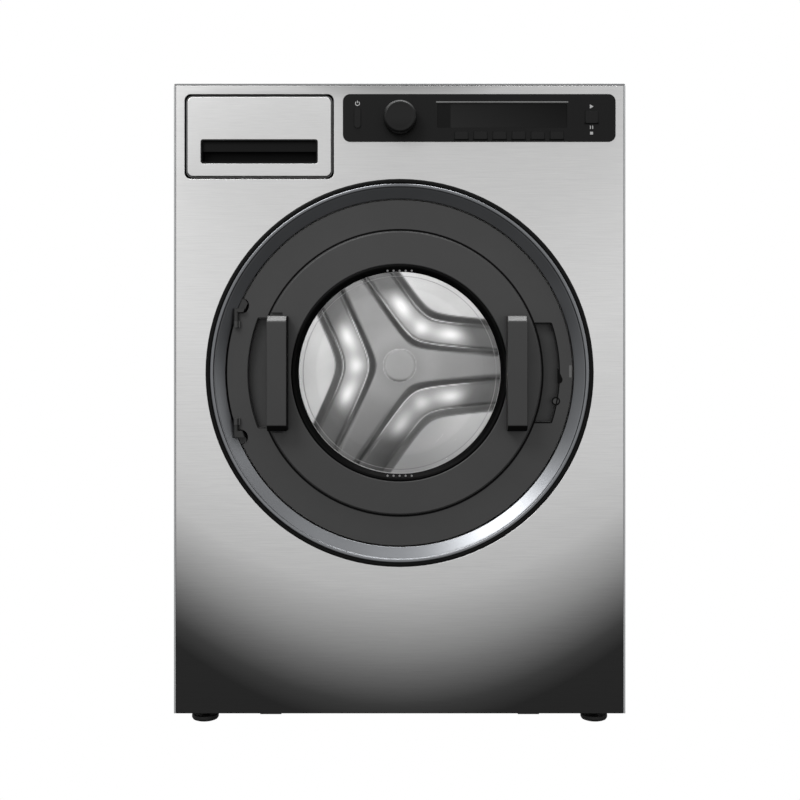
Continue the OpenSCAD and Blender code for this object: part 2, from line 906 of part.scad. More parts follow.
module door_cover() {
    color([0.25, 0.25, 0.25]) difference() {
        union() {
            panel([disc_d, disc_back]) at_port() difference() {
                circle(r = disc_r, $fn = 180);
                circle(r = window_r, $fn = 180);
                for (angle = boss_angles)
                    rotate(angle) translate([boss_path_r, 0]) circle(r = boss_r + 1.5);
            }
            panel([disc_back, frame_d]) at_port() {
                difference() {
                    circle(r = seat_r + 3, $fn = 180);
                    circle(r = seat_r, $fn = 180);
                }
                difference() {
                    circle(r = 214.5, $fn = 180);
                    circle(r = 211.5, $fn = 180);
                }
            }
            panel([disc_back, frame_d]) at_port() intersection() {
                difference() {
                    circle(r = 214.5, $fn = 180);
                    circle(r = seat_r + 3, $fn = 180);
                }
                square([600, 2 * left_well_h + 5], center = true);
            }
            for (side = [-1, 1])
                translate([0, 0, port_z]) mirror([0, 0, side < 0 ? 1 : 0]) {
                    post(-hinge_x, hinge_d, knuckle_r, [lug_low, lug_high]);
                    slab([-hinge_x, -hinge_x + knuckle_r + 2], [hinge_d, disc_d + tiny],
                         [lug_low, lug_high]);
                }
        }
        post(-hinge_x, hinge_d, hinge_pin_r + fit, [port_z - knuckle_high, port_z + knuckle_high]);
        panel([disc_d - tiny, well_floor]) left_well();
        panel([disc_d - tiny, well_floor]) right_well();
    }
    color([0.2, 0.2, 0.2]) rod(207, port_z - 37.5, 4, [disc_d, well_floor]);
}

module door_trim() {
    color([0.28, 0.28, 0.28]) difference() {
        turned([[window_r, trim_d + 1], [window_r + 1, trim_d], [trim_r - 2, trim_d],
                [trim_r, trim_d + 2], [trim_r, disc_d], [window_r, disc_d]]);
        slab([-300, -grip_left_x + grip_w / 2 - grip_wall], [trim_d - tiny, disc_d + tiny],
             [port_z - grip_h / 2 - 3, port_z + grip_h / 2 + 4]);
    }
}

// A grip bar, hollow towards its outer side; side is -1 for left and 1 for right
module grip(side, x, foot) {
    half = grip_h / 2;
    inner = x - grip_w / 2 + grip_wall;
    color([0.24, 0.24, 0.24]) translate([0, 0, port_z]) mirror([side < 0 ? 1 : 0, 0, 0])
        difference() {
            translate([x - grip_w / 2, at(0), 0]) rotate([90, 0, 90]) linear_extrude(grip_w)
                polygon([[foot, -half], [foot, half], [-reach + grip_bevel, half],
                         [-reach, half - grip_bevel], [-reach, -half + grip_bevel],
                         [-reach + grip_bevel, -half]]);
            slab([inner, x + grip_w], [-reach + grip_plate, foot + tiny],
                 [-half + grip_wall, half - grip_wall]);
            if (foot > trim_d)
                slab([0, inner], [trim_d, foot + tiny], [-grip_h, grip_h]);
        }
}

module grip_left() {
    grip(-1, grip_left_x, disc_d);
}

module grip_right() {
    grip(1, grip_right_x, trim_d);
}

module window_gasket() {
    color("black") turned([[window_r, trim_d + 0.6], [window_r - 2, trim_d],
                          [window_r - 4.5, trim_d + 0.8], [glass_r, disc_back],
                          [glass_r, glass_d], [seat_r, glass_d], [seat_r, disc_back],
                          [window_r, disc_back]]);
}

module door_glass() {
    flange = glass_d + flange_t;
    color([0.8, 0.85, 0.88, 0.35])
        turned([[0, bowl_d], [glass_r - 36, bowl_d - 2], [glass_r - 17, bowl_d - 11],
                [glass_r - 6, 60], [glass_r, flange], [seat_r, flange], [seat_r, glass_d],
                [glass_r - glass_t, glass_d], [glass_r - 6 - glass_t, 60 - 2],
                [glass_r - 17 - glass_t, bowl_d - 15], [glass_r - 39, bowl_d - 2 - glass_t],
                [0, bowl_d - glass_t]]);
}

module door_frame() {
    color("silver")
        turned([[clamp_r, glass_d + flange_t], [seat_r, glass_d + flange_t],
                [seat_r, frame_d], [inner_r, frame_d], [inner_r, frame_back],
                [clamp_r, frame_back]]);
}

module door_inner_cover() {
    color([0.3, 0.3, 0.3]) {
        difference() {
            turned([[140, frame_back], [inner_r, frame_back], [inner_r, 42],
                    [inner_r - 8, inner_back], [150, inner_back], [140, 46]]);
            turned([[142.5, frame_back - tiny], [inner_r - wall, frame_back - tiny],
                    [inner_r - wall, 41], [inner_r - 9, inner_back - wall],
                    [151, inner_back - wall], [142.5, 45]]);
            slab([hook_x - 9, hook_x + 11], [inner_back - 4, inner_back + tiny],
                 [port_z - 10, port_z + 10]);
            slab([hook_x, hook_x + 11], [40, inner_back + tiny],
                 [port_z - 10, port_z + 10]);
        }
        post(hook_x, hook_d, pin_r, [port_z - 16, port_z + 16]);
        for (side = [-1, 1])
            slab([hook_x - 4, hook_x + 4], [frame_back, hook_d + 4],
                 [port_z + side * 13 - 3, port_z + side * 13 + 3]);
    }
}

module latch_hook() {
    color("silver") difference() {
        union() {
            slab([hook_x - 4, hook_x + 4], [hook_d, 66], [port_z - hook_w, port_z + hook_w]);
            post(hook_x, hook_d, 5.5, [port_z - hook_w, port_z + hook_w]);
            slab([hook_x + 4, hook_x + 9], [60, 66], [port_z - hook_w, port_z + hook_w]);
        }
        post(hook_x, hook_d, pin_r + fit, [port_z - 20, port_z + 20]);
    }
}

front_panel();
side_panel_left();
side_panel_right();
rear_panel();
service_cover();
top_panel();
base_tray();
top_rails();
levelling_feet();
porthole_ring();
porthole_rim();
porthole_pan();
hinge_bracket();
door_lock();
control_fascia();
display_window();
control_board();
dispenser_housing();
inlet_valves();
drain_pump();
control_box();
cable_gland();
damper_cylinders();
tub_rear();
tub_front();
door_seal();
counterweights();
heater();
drum_bearings();
drive_motor();
drive_belt();
damper_rods();
suspension_springs();
drum_shell();
drum_back();
drum_lifters();
drum_spider();
drum_pulley();
motor_pulley();
door_cover();
door_trim();
grip_left();
grip_right();
window_gasket();
door_glass();
door_frame();
door_inner_cover();
latch_hook();
drawer_front();
drawer_grip();
drawer_tray();
program_knob();
power_button();
start_button();
for (i = [1 : 6]) option_button(i);
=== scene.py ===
import json
import math

import bmesh
import bpy
import numpy as np
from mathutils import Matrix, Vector


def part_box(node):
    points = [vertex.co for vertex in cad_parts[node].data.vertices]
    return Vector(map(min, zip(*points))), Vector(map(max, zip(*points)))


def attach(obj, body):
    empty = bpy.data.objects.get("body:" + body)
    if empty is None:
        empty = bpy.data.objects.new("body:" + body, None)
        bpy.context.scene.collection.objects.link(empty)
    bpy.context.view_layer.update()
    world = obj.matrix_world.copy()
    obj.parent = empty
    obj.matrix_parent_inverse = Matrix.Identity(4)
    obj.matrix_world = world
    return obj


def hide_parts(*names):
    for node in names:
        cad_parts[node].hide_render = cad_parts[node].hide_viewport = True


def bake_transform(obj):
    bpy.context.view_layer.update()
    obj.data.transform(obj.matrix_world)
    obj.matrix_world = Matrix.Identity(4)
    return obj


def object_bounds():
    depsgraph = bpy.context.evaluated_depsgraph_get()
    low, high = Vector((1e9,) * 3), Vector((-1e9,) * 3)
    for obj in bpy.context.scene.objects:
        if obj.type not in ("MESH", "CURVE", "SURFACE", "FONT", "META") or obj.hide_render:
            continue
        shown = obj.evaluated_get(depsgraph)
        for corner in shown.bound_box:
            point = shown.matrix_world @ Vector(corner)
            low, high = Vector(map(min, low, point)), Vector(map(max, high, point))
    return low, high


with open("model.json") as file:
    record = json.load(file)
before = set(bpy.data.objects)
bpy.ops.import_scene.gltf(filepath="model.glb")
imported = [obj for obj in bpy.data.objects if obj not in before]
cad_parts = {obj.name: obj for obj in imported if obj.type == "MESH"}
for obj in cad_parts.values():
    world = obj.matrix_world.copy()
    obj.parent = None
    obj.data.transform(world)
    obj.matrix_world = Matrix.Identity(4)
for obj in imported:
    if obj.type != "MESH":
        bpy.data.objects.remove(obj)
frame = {"nodes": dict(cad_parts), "record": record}
cad_low, cad_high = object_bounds()

# ------------------------ the camera
# The eye is level with the door, straight in front of the machine.
panel_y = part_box("front_panel")[0].y
port_low, port_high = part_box("porthole_ring")
port_z = (port_low.z + port_high.z) / 2
EYE_DISTANCE = 1.70
EYE_HEIGHT = 0.519
LENS = 58.07
SENSOR = 36.0
VIEW_DROP = -0.0816

camera_data = bpy.data.cameras.new("eye")
camera_data.lens = LENS
camera_data.sensor_width = SENSOR
camera_data.shift_y = VIEW_DROP
camera_data.clip_end = 50
camera = bpy.data.objects.new("eye", camera_data)
camera.location = (0.0005, panel_y - EYE_DISTANCE, EYE_HEIGHT)
camera.rotation_euler = (math.radians(90), 0, 0)
bpy.context.scene.collection.objects.link(camera)
bpy.context.scene.camera = camera
bpy.context.scene.view_settings.view_transform = "Standard"


def grey_of(level, tint=(1, 1, 1)):
    """A grey, or a tinted grey, as a colour with full alpha."""
    return (level * tint[0], level * tint[1], level * tint[2], 1)


def new_material(name):
    """A new material; returns it, its tree, its Principled shader and its object coordinates."""
    made = bpy.data.materials.new(name)
    made.use_nodes = True
    tree = made.node_tree
    shader = tree.nodes["Principled BSDF"]
    coords = tree.nodes.new("ShaderNodeTexCoord")
    return made, tree, shader, coords.outputs["Object"]


def node_of(tree, kind, **values):
    """A node with its input sockets set by name."""
    made = tree.nodes.new(kind)
    for key, value in values.items():
        made.inputs[key.replace("_", " ")].default_value = value
    return made


def math_of(tree, operation, first, second=None, clamp=False):
    """A math node fed by sockets or plain numbers; returns its output."""
    made = tree.nodes.new("ShaderNodeMath")
    made.operation = operation
    made.use_clamp = clamp
    for socket, value in zip(made.inputs, (first, second)):
        if value is None:
            continue
        if isinstance(value, (int, float)):
            socket.default_value = value
        else:
            tree.links.new(value, socket)
    return made.outputs["Value"]


def blend_colours(tree, factor, first, second):
    """A colour mix; first and second are colours or sockets."""
    mixer = tree.nodes.new("ShaderNodeMix")
    mixer.data_type = "RGBA"
    tree.links.new(factor, mixer.inputs[0])
    for index, value in ((6, first), (7, second)):
        if isinstance(value, tuple):
            mixer.inputs[index].default_value = value
        else:
            tree.links.new(value, mixer.inputs[index])
    return mixer.outputs[2]


def spread(tree, value, low, high, out_low=0.0, out_high=1.0, smooth=False):
    """Maps a value from one range to another, held at both ends."""
    made = tree.nodes.new("ShaderNodeMapRange")
    made.interpolation_type = "SMOOTHSTEP" if smooth else "LINEAR"
    made.clamp = True
    tree.links.new(value, made.inputs["Value"])
    for name, number in (("From Min", low), ("From Max", high),
                         ("To Min", out_low), ("To Max", out_high)):
        made.inputs[name].default_value = number
    return made.outputs["Result"]


def ramp_of(tree, value, steps):
    """A colour ramp through greys; steps are (place from 0 to 1, grey)."""
    ramp = tree.nodes.new("ShaderNodeValToRGB")
    stops = ramp.color_ramp.elements
    while len(stops) < len(steps):
        stops.new(1.0)
    for stop, (position, level) in zip(stops, steps):
        stop.position = position
        stop.color = grey_of(level)
    tree.links.new(value, ramp.inputs["Fac"])
    return ramp.outputs["Color"]


def add_mesh(name, points, faces):
    """A smooth mesh object in the scene."""
    mesh = bpy.data.meshes.new(name)
    mesh.from_pydata([tuple(p) for p in points], [], faces)
    mesh.update()
    made = bpy.data.objects.new(name, mesh)
    bpy.context.scene.collection.objects.link(made)
    mesh.polygons.foreach_set("use_smooth", [True] * len(mesh.polygons))
    return made


def face_outwards(piece, split=False):
    """Turns every face of a closed mesh outwards, and splits large faces where asked."""
    work = bmesh.new()
    work.from_mesh(piece.data)
    bmesh.ops.recalc_face_normals(work, faces=work.faces)
    if split:
        bmesh.ops.triangulate(work, faces=[f for f in work.faces if len(f.verts) > 4])
    work.to_mesh(piece.data)
    work.free()


# ------------------------ the studio
# A seamless white surround with no floor in sight. What the surfaces mirror is brightest
# above and falls away below, with soft boxes overhead, at the upper left and at the right.
world = bpy.data.worlds.new("studio")
world.use_nodes = True
bpy.context.scene.world = world
tree = world.node_tree
sky = tree.nodes["Background"]
coords = tree.nodes.new("ShaderNodeTexCoord")
parts = tree.nodes.new("ShaderNodeSeparateXYZ")
tree.links.new(coords.outputs["Generated"], parts.inputs["Vector"])
SURROUND = ((0.0, 0.12), (0.25, 0.20), (0.42, 0.62), (0.50, 0.92), (0.60, 0.92), (1.0, 0.85))
SIDE_LEFT = 0.45
SIDE_RIGHT = 0.75
SIDE_START = 0.4
SIDE_FULL = 0.85
surround = ramp_of(tree, spread(tree, parts.outputs["Z"], -1.0, 1.0), SURROUND)
to_left = spread(tree, parts.outputs["X"], -SIDE_FULL, -SIDE_START, SIDE_LEFT, 0.0, True)
to_right = spread(tree, parts.outputs["X"], SIDE_START, SIDE_FULL, 0.0, SIDE_RIGHT, True)
shaded = blend_colours(tree, math_of(tree, "ADD", to_left, to_right), surround,
                       grey_of(0.02))
ray = tree.nodes.new("ShaderNodeLightPath")
seen = blend_colours(tree, ray.outputs["Is Camera Ray"], shaded, grey_of(1.0))
tree.links.new(seen, sky.inputs["Color"])


def soft_box(name, place, target, size, power):
    """A rectangular area light aimed at a point."""
    data = bpy.data.lights.new(name, "AREA")
    data.shape = "RECTANGLE"
    data.size, data.size_y = size
    data.energy = power
    made = bpy.data.objects.new(name, data)
    made.location = place
    made.rotation_euler = (Vector(target) - Vector(place)).to_track_quat("-Z", "Y").to_euler()
    bpy.context.scene.collection.objects.link(made)
    return made


soft_box("key_soft_box", (-1.3, -2.0, 2.3), (0, 0, 0.45), (1.0, 1.0), 34)
soft_box("fill_soft_box", (2.2, -1.2, 1.2), (0, 0, 0.45), (1.2, 1.6), 8)
soft_box("overhead_soft_box", (0, -0.47, 2.4), (0, -0.45, 0.5), (1.6, 0.6), 36)

# ------------------------ shared mesh work


def body_of_node(node):
    """The body that a CAD node belongs to."""
    for body, members in frame["record"]["behaviour"]["bodies"].items():
        if node in members:
            return body


def stand_for(piece, *nodes):
    """The piece replaces CAD nodes of one body and rides with it."""
    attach(piece, body_of_node(nodes[0]))
    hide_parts(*nodes)
    return piece


def add_on(piece, node):
    """A small extra piece that moves with a CAD node's body."""
    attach(piece, body_of_node(node))
    return piece


def finish_shading(piece, sharp=40):
    """Smooth faces, creased where the angle is sharp, with face-weighted normals."""
    mesh = piece.data
    work = bmesh.new()
    work.from_mesh(mesh)
    for edge in work.edges:
        if len(edge.link_faces) == 2:
            edge.smooth = edge.calc_face_angle() < math.radians(sharp)
    for face in work.faces:
        face.smooth = True
    work.to_mesh(mesh)
    work.free()
    weighted = piece.modifiers.new("face_weighted", "WEIGHTED_NORMAL")
    weighted.keep_sharp = True
    weighted.weight = 60


def rounded_copy(node, name, finish, radius=0.0004, segments=2, keep=25):
    """A copy of a CAD node with its edges rounded, standing for it."""
    work = bmesh.new()
    work.from_mesh(frame["nodes"][node].data)
    bmesh.ops.remove_doubles(work, verts=work.verts, dist=2e-6)
    bmesh.ops.dissolve_limit(work, angle_limit=math.radians(0.2), verts=work.verts,
                             edges=work.edges, use_dissolve_boundaries=False)
    edges = [e for e in work.edges
             if len(e.link_faces) == 2 and e.calc_face_angle() > math.radians(keep)]
    bmesh.ops.bevel(work, geom=edges, offset=radius, offset_type="OFFSET", segments=segments,
                    profile=0.5, affect="EDGES", clamp_overlap=True, loop_slide=True)
    bmesh.ops.triangulate(work, faces=[f for f in work.faces if len(f.verts) > 4])
    mesh = bpy.data.meshes.new(name)
    work.to_mesh(mesh)
    work.free()
    piece = bpy.data.objects.new(name, mesh)
    bpy.context.scene.collection.objects.link(piece)
    mesh.materials.append(finish)
    finish_shading(piece)
    stand_for(piece, node)
    return piece


def fillet(points, radius, steps=5, closed=True):
    """An outline with its corners rounded by short curves."""
    rounded = []
    count = len(points)
    for i, corner in enumerate(points):
        if not closed and i in (0, count - 1):
            rounded.append(corner)
            continue
        here = Vector(corner)
        before = Vector(points[i - 1]) - here
        after = Vector(points[(i + 1) % count]) - here
        reach = min(radius, before.length * 0.45, after.length * 0.45)
        start = here + before.normalized() * reach
        end = here + after.normalized() * reach
        for k in range(steps + 1):
            t = k / steps
            rounded.append(tuple((1 - t) ** 2 * start + 2 * t * (1 - t) * here + t * t * end))
    return rounded


def lathe(name, outline, finish, centre=(0, port_z), steps=256, closed=True, sharp=40):
    """Revolves an outline of (radius, depth) in mm behind the front panel about an axis along Y."""
    points, faces, rings = [], [], []
    for radius, depth in outline:
        y = panel_y + depth / 1000
        if radius < 1e-4:
            rings.append([len(points)] * steps)
            points.append((centre[0], y, centre[1]))
            continue
        rings.append(list(range(len(points), len(points) + steps)))
        for k in range(steps):
            angle = 2 * math.pi * k / steps
            points.append((centre[0] + radius / 1000 * math.cos(angle), y,
                           centre[1] + radius / 1000 * math.sin(angle)))
    last = len(rings) if closed else len(rings) - 1
    for i in range(last):
        a, b = rings[i], rings[(i + 1) % len(rings)]
        for k in range(steps):
            n = (k + 1) % steps
            loop = [a[k], a[n], b[n], b[k]]
            loop = [v for j, v in enumerate(loop) if v != loop[j - 1]]
            if len(loop) > 2:
                faces.append(loop)
    piece = add_mesh(name, points, faces)
    face_outwards(piece)
    piece.data.materials.append(finish)
    finish_shading(piece, sharp)
    return piece


def plate(name, outline, depths, finish):
    """A flat plate with an outline of (x, z) in mm between two depths behind the panel."""
    count = len(outline)
    points = [(x / 1000, panel_y + d / 1000, z / 1000) for d in depths for x, z in outline]
    faces = [list(range(count)), list(range(2 * count - 1, count - 1, -1))]
    for k in range(count):
        n = (k + 1) % count
        faces.append([k, k + count, n + count, n])
    piece = add_mesh(name, points, faces)
    face_outwards(piece, split=True)
    piece.data.materials.append(finish)
    finish_shading(piece)
    return piece


def band(name, path, width, depths, finish):
    """A strip of even width that follows a path of (x, z) in mm."""
    left, right = [], []
    for i, (x, z) in enumerate(path):
        ahead = Vector(path[min(i + 1, len(path) - 1)]) - Vector(path[max(i - 1, 0)])
        aside = Vector((-ahead.y, ahead.x)).normalized() * width / 2
        left.append((x + aside.x, z + aside.y))
        right.append((x - aside.x, z - aside.y))
    return plate(name, left + right[::-1], depths, finish)


# ------------------------ repeats by rule
# Small parts that repeat are placed on points by a node tree, each turned to its point's facing.


def rule_tree(name, inputs):
    """An empty node tree with named inputs; returns it, its socket identifiers and its entry."""
    tree = bpy.data.node_groups.new(name, "GeometryNodeTree")
    identifiers = {}
    for label, kind in inputs:
        socket = tree.interface.new_socket(label, in_out="INPUT", socket_type=kind)
        identifiers[label] = socket.identifier
    tree.interface.new_socket("Result", in_out="OUTPUT", socket_type="NodeSocketGeometry")
    return tree, identifiers, tree.nodes.new("NodeGroupInput")


def end_rule(tree, entry, points, instance):
    """Closes a tree: instances on points, made real and given the finish. Returns the placer."""
    scatter = tree.nodes.new("GeometryNodeInstanceOnPoints")
    tree.links.new(entry.outputs[points], scatter.inputs["Points"])
    tree.links.new(instance, scatter.inputs["Instance"])
    realize = tree.nodes.new("GeometryNodeRealizeInstances")
    tree.links.new(scatter.outputs["Instances"], realize.inputs["Geometry"])
    paint = tree.nodes.new("GeometryNodeSetMaterial")
    tree.links.new(realize.outputs["Geometry"], paint.inputs["Geometry"])
    tree.links.new(entry.outputs["Finish"], paint.inputs["Material"])
    leave = tree.nodes.new("NodeGroupOutput")
    tree.links.new(paint.outputs["Geometry"], leave.inputs["Result"])
    return scatter


HEAD_TAPER = 0.85
placing, PLACING_INPUTS, entry = rule_tree("parts_on_points", [
    ("Points", "NodeSocketGeometry"), ("Radius", "NodeSocketFloat"), ("Height", "NodeSocketFloat"),
    ("Sides", "NodeSocketInt"), ("Finish", "NodeSocketMaterial")])
head = placing.nodes.new("GeometryNodeMeshCone")
top = placing.nodes.new("ShaderNodeMath")
top.operation = "MULTIPLY"
top.inputs[1].default_value = HEAD_TAPER
placing.links.new(entry.outputs["Radius"], top.inputs[0])
placing.links.new(entry.outputs["Sides"], head.inputs["Vertices"])
placing.links.new(top.outputs["Value"], head.inputs["Radius Top"])
placing.links.new(entry.outputs["Radius"], head.inputs["Radius Bottom"])
placing.links.new(entry.outputs["Height"], head.inputs["Depth"])
facing = placing.nodes.new("GeometryNodeInputNamedAttribute")
facing.data_type = "FLOAT_VECTOR"
facing.inputs["Name"].default_value = "facing"
turned = placing.nodes.new("FunctionNodeAlignRotationToVector")
turned.axis = "Z"
placing.links.new(facing.outputs["Attribute"], turned.inputs["Vector"])
scatter = end_rule(placing, entry, "Points", head.outputs["Mesh"])
placing.links.new(turned.outputs["Rotation"], scatter.inputs["Rotation"])


def grown(name, start, tree, inputs, values):
    """Runs a node tree on an object and keeps the result as a plain mesh."""
    rule = start.modifiers.new("rule", "NODES")
    rule.node_group = tree
    for label, value in values.items():
        rule[inputs[label]] = value
    bpy.context.view_layer.update()
    seen_by = bpy.context.evaluated_depsgraph_get()
    mesh = bpy.data.meshes.new_from_object(start.evaluated_get(seen_by))
    bpy.data.objects.remove(start)
    mesh.name = name
    piece = bpy.data.objects.new(name, mesh)
    bpy.context.scene.collection.objects.link(piece)
    return piece


def placed(name, places, facings, radius, height, sides, finish):
    """Small round heads or cups on points given in metres."""
    start = add_mesh(name + "_points", places, [])
    layer = start.data.attributes.new("facing", "FLOAT_VECTOR", "POINT")
    layer.data.foreach_set("vector", [c for v in facings for c in v])
    return grown(name, start, placing, PLACING_INPUTS,
                 {"Radius": radius, "Height": height, "Sides": sides, "Finish": finish})


# ------------------------ shared surface effects


def effect_group(name, inputs, outputs):
    """An empty shader group with named sockets; returns the group, its entry and its exit."""
    group = bpy.data.node_groups.new(name, "ShaderNodeTree")
    for label, kind, value in inputs:
        socket = group.interface.new_socket(label, in_out="INPUT", socket_type=kind)
        if value is not None:
            socket.default_value = value
    for label, kind in outputs:
        group.interface.new_socket(label, in_out="OUTPUT", socket_type=kind)
    return group, group.nodes.new("NodeGroupInput"), group.nodes.new("NodeGroupOutput")


# Brushing: long fine scratches in one direction, with slow patches of cleaner metal between.
brushing, entry, leave = effect_group(
    "brushing",
    [("Place", "NodeSocketVector", None), ("Along", "NodeSocketVector", (30.0, 900.0, 2600.0)),
     ("Depth", "NodeSocketFloat", 0.15)],
    [("Streak", "NodeSocketFloat"), ("Patch", "NodeSocketFloat"), ("Normal", "NodeSocketVector")])
stretch = brushing.nodes.new("ShaderNodeVectorMath")
stretch.operation = "MULTIPLY"
brushing.links.new(entry.outputs["Place"], stretch.inputs[0])
brushing.links.new(entry.outputs["Along"], stretch.inputs[1])
scratches = node_of(brushing, "ShaderNodeTexNoise", Scale=1.0, Detail=3.0, Roughness=0.65)
brushing.links.new(stretch.outputs["Vector"], scratches.inputs["Vector"])
patches = node_of(brushing, "ShaderNodeTexNoise", Scale=9.0, Detail=3.0, Roughness=0.5)
brushing.links.new(entry.outputs["Place"], patches.inputs["Vector"])
relief = brushing.nodes.new("ShaderNodeBump")
relief.inputs["Distance"].default_value = 0.0002
brushing.links.new(scratches.outputs["Fac"], relief.inputs["Height"])
brushing.links.new(entry.outputs["Depth"], relief.inputs["Strength"])
brushing.links.new(scratches.outputs["Fac"], leave.inputs["Streak"])
brushing.links.new(patches.outputs["Fac"], leave.inputs["Patch"])
brushing.links.new(relief.outputs["Normal"], leave.inputs["Normal"])

# Moulding: the fine spark-eroded grain of a plastic tool, with slow patches of wear.
moulding, entry, leave = effect_group(
    "moulding",
    [("Place", "NodeSocketVector", None), ("Grain", "NodeSocketFloat", 1400.0),
     ("Depth", "NodeSocketFloat", 0.1)],
    [("Grain", "NodeSocketFloat"), ("Patch", "NodeSocketFloat"), ("Normal", "NodeSocketVector")])
specks = node_of(moulding, "ShaderNodeTexNoise", Detail=3.0, Roughness=0.6)
moulding.links.new(entry.outputs["Place"], specks.inputs["Vector"])
moulding.links.new(entry.outputs["Grain"], specks.inputs["Scale"])
patches = node_of(moulding, "ShaderNodeTexNoise", Scale=14.0, Detail=4.0, Roughness=0.55)
moulding.links.new(entry.outputs["Place"], patches.inputs["Vector"])
relief = moulding.nodes.new("ShaderNodeBump")
relief.inputs["Distance"].default_value = 0.0002
moulding.links.new(specks.outputs["Fac"], relief.inputs["Height"])
moulding.links.new(entry.outputs["Depth"], relief.inputs["Strength"])
moulding.links.new(specks.outputs["Fac"], leave.inputs["Grain"])
moulding.links.new(patches.outputs["Fac"], leave.inputs["Patch"])
moulding.links.new(relief.outputs["Normal"], leave.inputs["Normal"])


def use_effect(tree, group, coords, **values):
    made = tree.nodes.new("ShaderNodeGroup")
    made.node_tree = group
    tree.links.new(coords, made.inputs["Place"])
    for key, value in values.items():
        made.inputs[key].default_value = value
    return made


def brushed(name, dark, light, rough, along=(30.0, 900.0, 2600.0), depth=0.12, shade=None):
    """Bare metal with brushing along one direction."""
    made, tree, shader, coords = new_material(name)
    effect = use_effect(tree, brushing, coords, Along=along, Depth=depth)
    tone = spread(tree, effect.outputs["Streak"], 0.3, 0.7)
    colour = blend_colours(tree, tone, grey_of(dark), grey_of(light, (1, 1, 0.995)))
    if shade:
        colour = shade(tree, coords, colour)
    tree.links.new(colour, shader.inputs["Base Color"])
    tree.links.new(spread(tree, effect.outputs["Patch"], 0.3, 0.7, rough - 0.03, rough + 0.04),
                   shader.inputs["Roughness"])
    tree.links.new(effect.outputs["Normal"], shader.inputs["Normal"])
    shader.inputs["Metallic"].default_value = 1.0
    return made


def moulded(name, colour, rough, grain=1400.0, depth=0.1, change=0.12, shine=0.5):
    """Plastic, rubber or paint with a moulded grain."""
    made, tree, shader, coords = new_material(name)
    effect = use_effect(tree, moulding, coords, Grain=grain, Depth=depth)
    dark = tuple(c * (1 - change) for c in colour) + (1,)
    light = tuple(min(1, c * (1 + change)) for c in colour) + (1,)
    tone = spread(tree, effect.outputs["Patch"], 0.3, 0.7)
    tree.links.new(blend_colours(tree, tone, dark, light), shader.inputs["Base Color"])
    tree.links.new(spread(tree, effect.outputs["Grain"], 0.3, 0.7, rough - 0.05, rough + 0.05),
                   shader.inputs["Roughness"])
    tree.links.new(effect.outputs["Normal"], shader.inputs["Normal"])
    shader.inputs["Specular IOR Level"].default_value = shine
    return made


# ------------------------ cabinet shell
# The front panel is folded stainless sheet, brushed level from side to side. The side panels
# and the top cover are steel sheet with a silver grey powder coat.
# Painted shade: tone of the steel over its height in metres, darker at the foot and along the top edge
# as its reflections are, lower at the sides.
FOOT_AND_TOP_PAINTED_SHADE = ((0.0, 0.047), (0.03, 0.10), (0.05, 0.19), (0.077, 0.33), (0.103, 0.495),
             (0.130, 0.65), (0.156, 0.79), (0.182, 0.93), (0.25, 1.0), (0.45, 1.0),
             (0.65, 0.81), (0.76, 0.74), (0.82, 0.66), (0.846, 0.40))
SIDE_SHADE_DROP = 0.113
HALF_FRONT = cad_high.x


def painted_foot_shade(tree, coords, colour):
    """Painted shade: the steel deepens in tone over its lowest fifth, and sooner towards the sides, and
    darkens along the top edge.
    """
    parts = tree.nodes.new("ShaderNodeSeparateXYZ")
    tree.links.new(coords, parts.inputs["Vector"])
    aside = math_of(tree, "DIVIDE", parts.outputs["X"], HALF_FRONT)
    drop = math_of(tree, "MULTIPLY", math_of(tree, "POWER", math_of(tree, "ABSOLUTE", aside), 2.0),
                   SIDE_SHADE_DROP)
    height = math_of(tree, "SUBTRACT", parts.outputs["Z"], drop)
    mixer = tree.nodes.new("ShaderNodeMix")
    mixer.data_type = "RGBA"
    mixer.blend_type = "MULTIPLY"
    mixer.inputs[0].default_value = 1.0
    tree.links.new(colour, mixer.inputs[6])
    tree.links.new(ramp_of(tree, height, FOOT_AND_TOP_PAINTED_SHADE), mixer.inputs[7])
    return mixer.outputs[2]


# The front steel carries painted shade at its foot and along its top edge.
front_steel = brushed("front_brushed_steel", 0.73, 0.83, 0.36, shade=painted_foot_shade)
cabinet_coat = moulded("cabinet_powder_coat", (0.38, 0.385, 0.39), 0.42, 900.0, 0.15, 0.04)
rear_zinc = moulded("rear_zinc_sheet", (0.42, 0.43, 0.44), 0.45, 300.0, 0.05, 0.06)
rounded_copy("front_panel", "front_steel_panel", front_steel, 0.0005, 3)
rounded_copy("side_panel_left", "left_side_sheet", cabinet_coat, 0.0009, 3)
rounded_copy("side_panel_right", "right_side_sheet", cabinet_coat, 0.0009, 3)
top_coat = moulded("top_cover_coat", (0.20, 0.203, 0.206), 0.5, 900.0, 0.15, 0.04)
rounded_copy("top_panel", "top_cover_sheet", top_coat, 0.0009, 3)
rounded_copy("rear_panel", "rear_sheet", rear_zinc, 0.0004, 2)
rounded_copy("service_cover", "rear_service_cover", rear_zinc, 0.0005, 2)

# Screw heads along the rear panel's sides and round its service cover, and rows of vent holes drawn as
# black discs, painted shade inside each hole.
zinc_head = moulded("screw_head_zinc", (0.55, 0.55, 0.54), 0.3, 900.0, 0.05)
